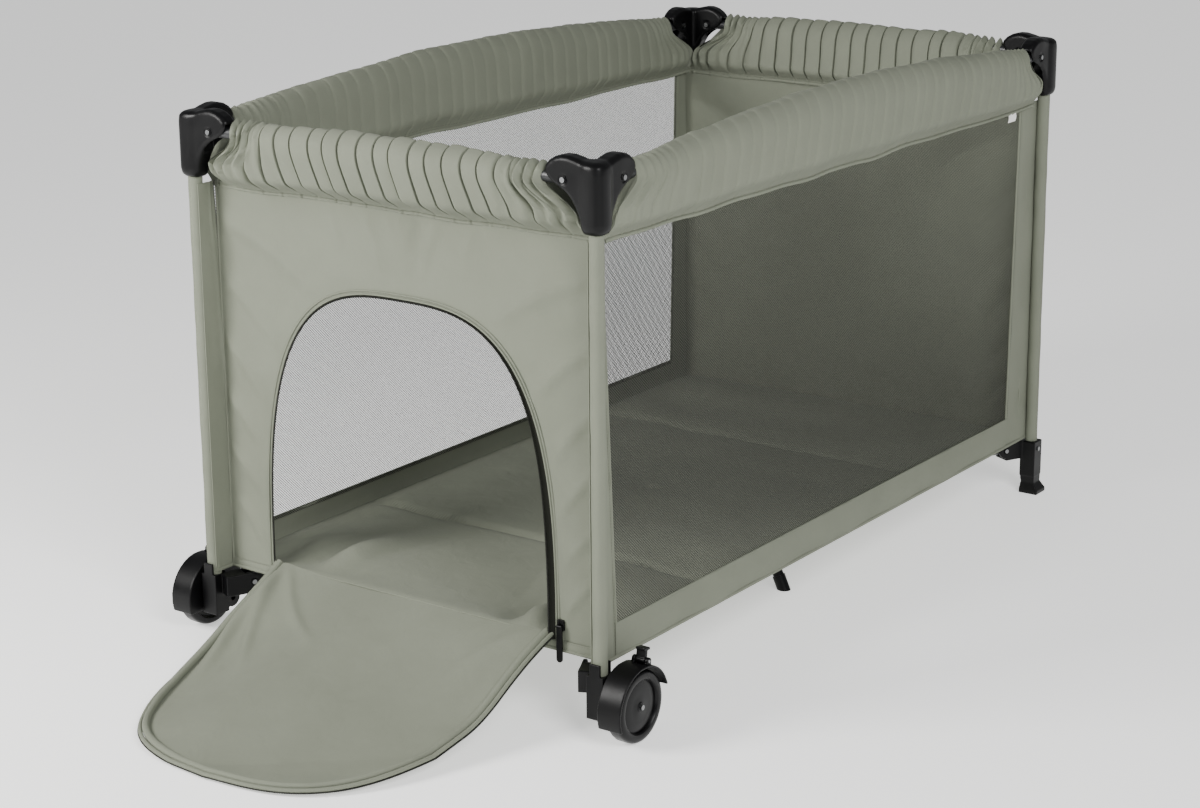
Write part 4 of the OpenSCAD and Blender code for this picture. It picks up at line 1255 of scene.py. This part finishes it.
def care_label():
    """A folded woven care label, sewn in under the front rail."""
    corner = "front_right"
    run = np.linspace(84, 108, 12)[None] * MM
    height = np.linspace(636, 621, 12)[:, None] * MM + 0 * run
    across = SIDE_WALL - 3.2 * MM - 1.6 * MM * np.sin(math.pi * (636 * MM - height) / (15 * MM)) + 0 * run
    label = sheet_piece("care_label", placed(corner, False, run, across, height), finish("label"), 0.5 * MM)
    on_corner(label, corner, False)


# ---- CAD pieces that stay ----


def node_finish(node):
    """The finish of a CAD node, from what it is."""
    if node.endswith("_post"):
        return "post"
    if "fasteners" in node:
        return "rivet"
    if "_rail_" in node or node.endswith("_arm"):
        return "tube"
    return "black"


# ---- studio ----


def studio():
    """A pale floor, soft lights from the left and above, and the camera at the working view."""
    scene = bpy.context.scene
    floor_mesh = bpy.data.meshes.new("studio_floor")
    floor_mesh.from_pydata([(-30, -30, 0), (30, -30, 0), (30, 30, 0), (-30, 30, 0)], [], [(0, 1, 2, 3)])
    floor = bpy.data.objects.new("studio_floor", floor_mesh)
    floor_tone = tuple(look().colours.floor)
    # The sweep is lit through from behind a little, as a packshot table is, so that it stays pale.
    shine = {"Specular_IOR_Level": 0.0, "Emission_Strength": 0.75}
    paint = new_material("studio_floor_sweep", floor_tone, 0.9, **shine)[0]
    paint.node_tree.nodes["Principled BSDF"].inputs["Emission Color"].default_value = (*floor_tone, 1)
    floor_mesh.materials.append(paint)
    scene.collection.objects.link(floor)

    world = bpy.data.worlds.new("studio_air")
    world.use_nodes = True
    back = world.node_tree.nodes["Background"]
    back.inputs["Color"].default_value = (0.97, 0.985, 1.0, 1)
    back.inputs["Strength"].default_value = 0.28
    scene.world = world

    for name, place, aim, size, power, tint in (
        ("key_softbox", (-2.1, 1.1, 1.45), (-0.5, 0.2, 0.4), 1.0, 74, (1.0, 0.99, 0.97)),
        ("front_softbox", (-1.8, -3.0, 2.6), (0.0, 0, 0.3), 1.6, 125, (1, 1, 1)),
    ):
        light = bpy.data.lights.new(name, "AREA")
        light.size = size
        light.energy = power
        light.color = tint
        lamp = bpy.data.objects.new(name, light)
        scene.collection.objects.link(lamp)
        point_at(lamp, place, aim)

    camera_data = bpy.data.cameras.new("camera")
    camera = bpy.data.objects.new("camera", camera_data)
    scene.collection.objects.link(camera)
    yaw, pitch, roll = (math.radians(v) for v in (35.58, 15.14, -0.48))
    place = np.array([-3.048 + PEN_X, -2.085, 1.323])
    forward = np.array([math.cos(yaw) * math.cos(pitch), math.sin(yaw) * math.cos(pitch), -math.sin(pitch)])
    point_at(camera, place, place + forward, roll)
    camera_data.sensor_width = 36
    camera_data.lens = 77.46
    camera_data.shift_y = -0.045
    camera_data.clip_end = 200
    scene.camera = camera


def point_at(thing, place, aim, roll=0.0):
    """Puts a lamp or camera at a place, looking at another, rolled about its line of sight."""
    away = np.array(place, float) - np.array(aim, float)
    away /= np.linalg.norm(away)
    right = np.cross([0, 0, 1.0], away)
    right /= np.linalg.norm(right)
    up = np.cross(away, right)
    turned = math.cos(roll) * right + math.sin(roll) * up
    upright = np.cross(away, turned)
    rows = [list(map(float, (turned[k], upright[k], away[k], place[k]))) for k in range(3)]
    thing.matrix_world = Matrix(rows + [[0, 0, 0, 1]])


# ---- operators ----


class PLAYPEN_OT_covers(bpy.types.Operator):
    """Makes the eight pleated rail covers"""

    bl_idname = "playpen.covers"
    bl_label = "Rail covers"

    def execute(self, context):
        for node, (corner, end, body) in RAILS.items():
            rail_cover(node, corner, end, body)
        return {"FINISHED"}


class PLAYPEN_OT_side_walls(bpy.types.Operator):
    """Makes the netting of the long sides with its bands and seams"""

    bl_idname = "playpen.side_walls"
    bl_label = "Side walls"

    def execute(self, context):
        for corner in CORNERS:
            side_wall(corner)
        care_label()
        return {"FINISHED"}


class PLAYPEN_OT_end_walls(bpy.types.Operator):
    """Makes the two fabric end walls, one with the door arch and its zip"""

    bl_idname = "playpen.end_walls"
    bl_label = "End walls"

    def execute(self, context):
        for corner in CORNERS:
            end_wall(corner, corner.endswith("left"))
        sleeves()
        return {"FINISHED"}


class PLAYPEN_OT_flap(bpy.types.Operator):
    """Makes the door flap with its piped rim"""

    bl_idname = "playpen.flap"
    bl_label = "Door flap"

    def execute(self, context):
        flap_pieces()
        return {"FINISHED"}


class PLAYPEN_OT_mattress(bpy.types.Operator):
    """Makes the fabric-covered mattress"""

    bl_idname = "playpen.mattress"
    bl_label = "Mattress"

    def execute(self, context):
        mattress_piece()
        return {"FINISHED"}


class PLAYPEN_OT_mouldings(bpy.types.Operator):
    """Makes the corner caps, wheels, brackets, feet and levers"""

    bl_idname = "playpen.mouldings"
    bl_label = "Mouldings"

    def execute(self, context):
        corner_caps()
        for node in ("front_wheel", "back_wheel"):
            wheel_piece(node)
        for node, voxel in SOFT_EDGED.items():
            softened(node, voxel * MM)
        for corner in CORNERS:
            small_heads(corner + "_fasteners")
        return {"FINISHED"}


class PLAYPEN_OT_frame(bpy.types.Operator):
    """Gives the posts, rails, arms, locks and fasteners their finishes"""

    bl_idname = "playpen.frame"
    bl_label = "Frame finishes"

    def execute(self, context):
        for node, thing in frame["nodes"].items():
            thing.data.materials.clear()
            thing.data.materials.append(finish(node_finish(node)))
        return {"FINISHED"}


class PLAYPEN_OT_studio(bpy.types.Operator):
    """Makes the pale floor, the soft lights and the camera"""

    bl_idname = "playpen.studio"
    bl_label = "Studio"

    def execute(self, context):
        studio()
        return {"FINISHED"}


STEPS = (
    PLAYPEN_OT_covers,
    PLAYPEN_OT_side_walls,
    PLAYPEN_OT_end_walls,
    PLAYPEN_OT_flap,
    PLAYPEN_OT_mattress,
    PLAYPEN_OT_mouldings,
    PLAYPEN_OT_frame,
    PLAYPEN_OT_studio,
)


class PLAYPEN_PT_panel(bpy.types.Panel):
    """Sizes, colours and the steps in order"""

    bl_label = "Playpen"
    bl_idname = "PLAYPEN_PT_panel"
    bl_space_type = "VIEW_3D"
    bl_region_type = "UI"
    bl_category = "Playpen"

    def draw(self, context):
        settings = context.scene.playpen
        for group in (settings.colours, settings.sizes):
            box = self.layout.box()
            for name in group.bl_rna.properties.keys():
                if name not in ("rna_type", "name"):
                    box.prop(group, name)
        for step in STEPS:
            self.layout.operator(step.bl_idname)


CLASSES = (PlaypenColours, PlaypenSizes, PlaypenLook) + STEPS + (PLAYPEN_PT_panel,)


def register():
    for made in CLASSES:
        bpy.utils.register_class(made)
    bpy.types.Scene.playpen = PointerProperty(type=PlaypenLook)


def unregister():
    del bpy.types.Scene.playpen
    for made in reversed(CLASSES):
        bpy.utils.unregister_class(made)


def main():
    register()
    for step in STEPS:
        group, name = step.bl_idname.split(".")
        getattr(getattr(bpy.ops, group), name)()
    bpy.context.view_layer.update()


if __name__ == "__main__":
    main()
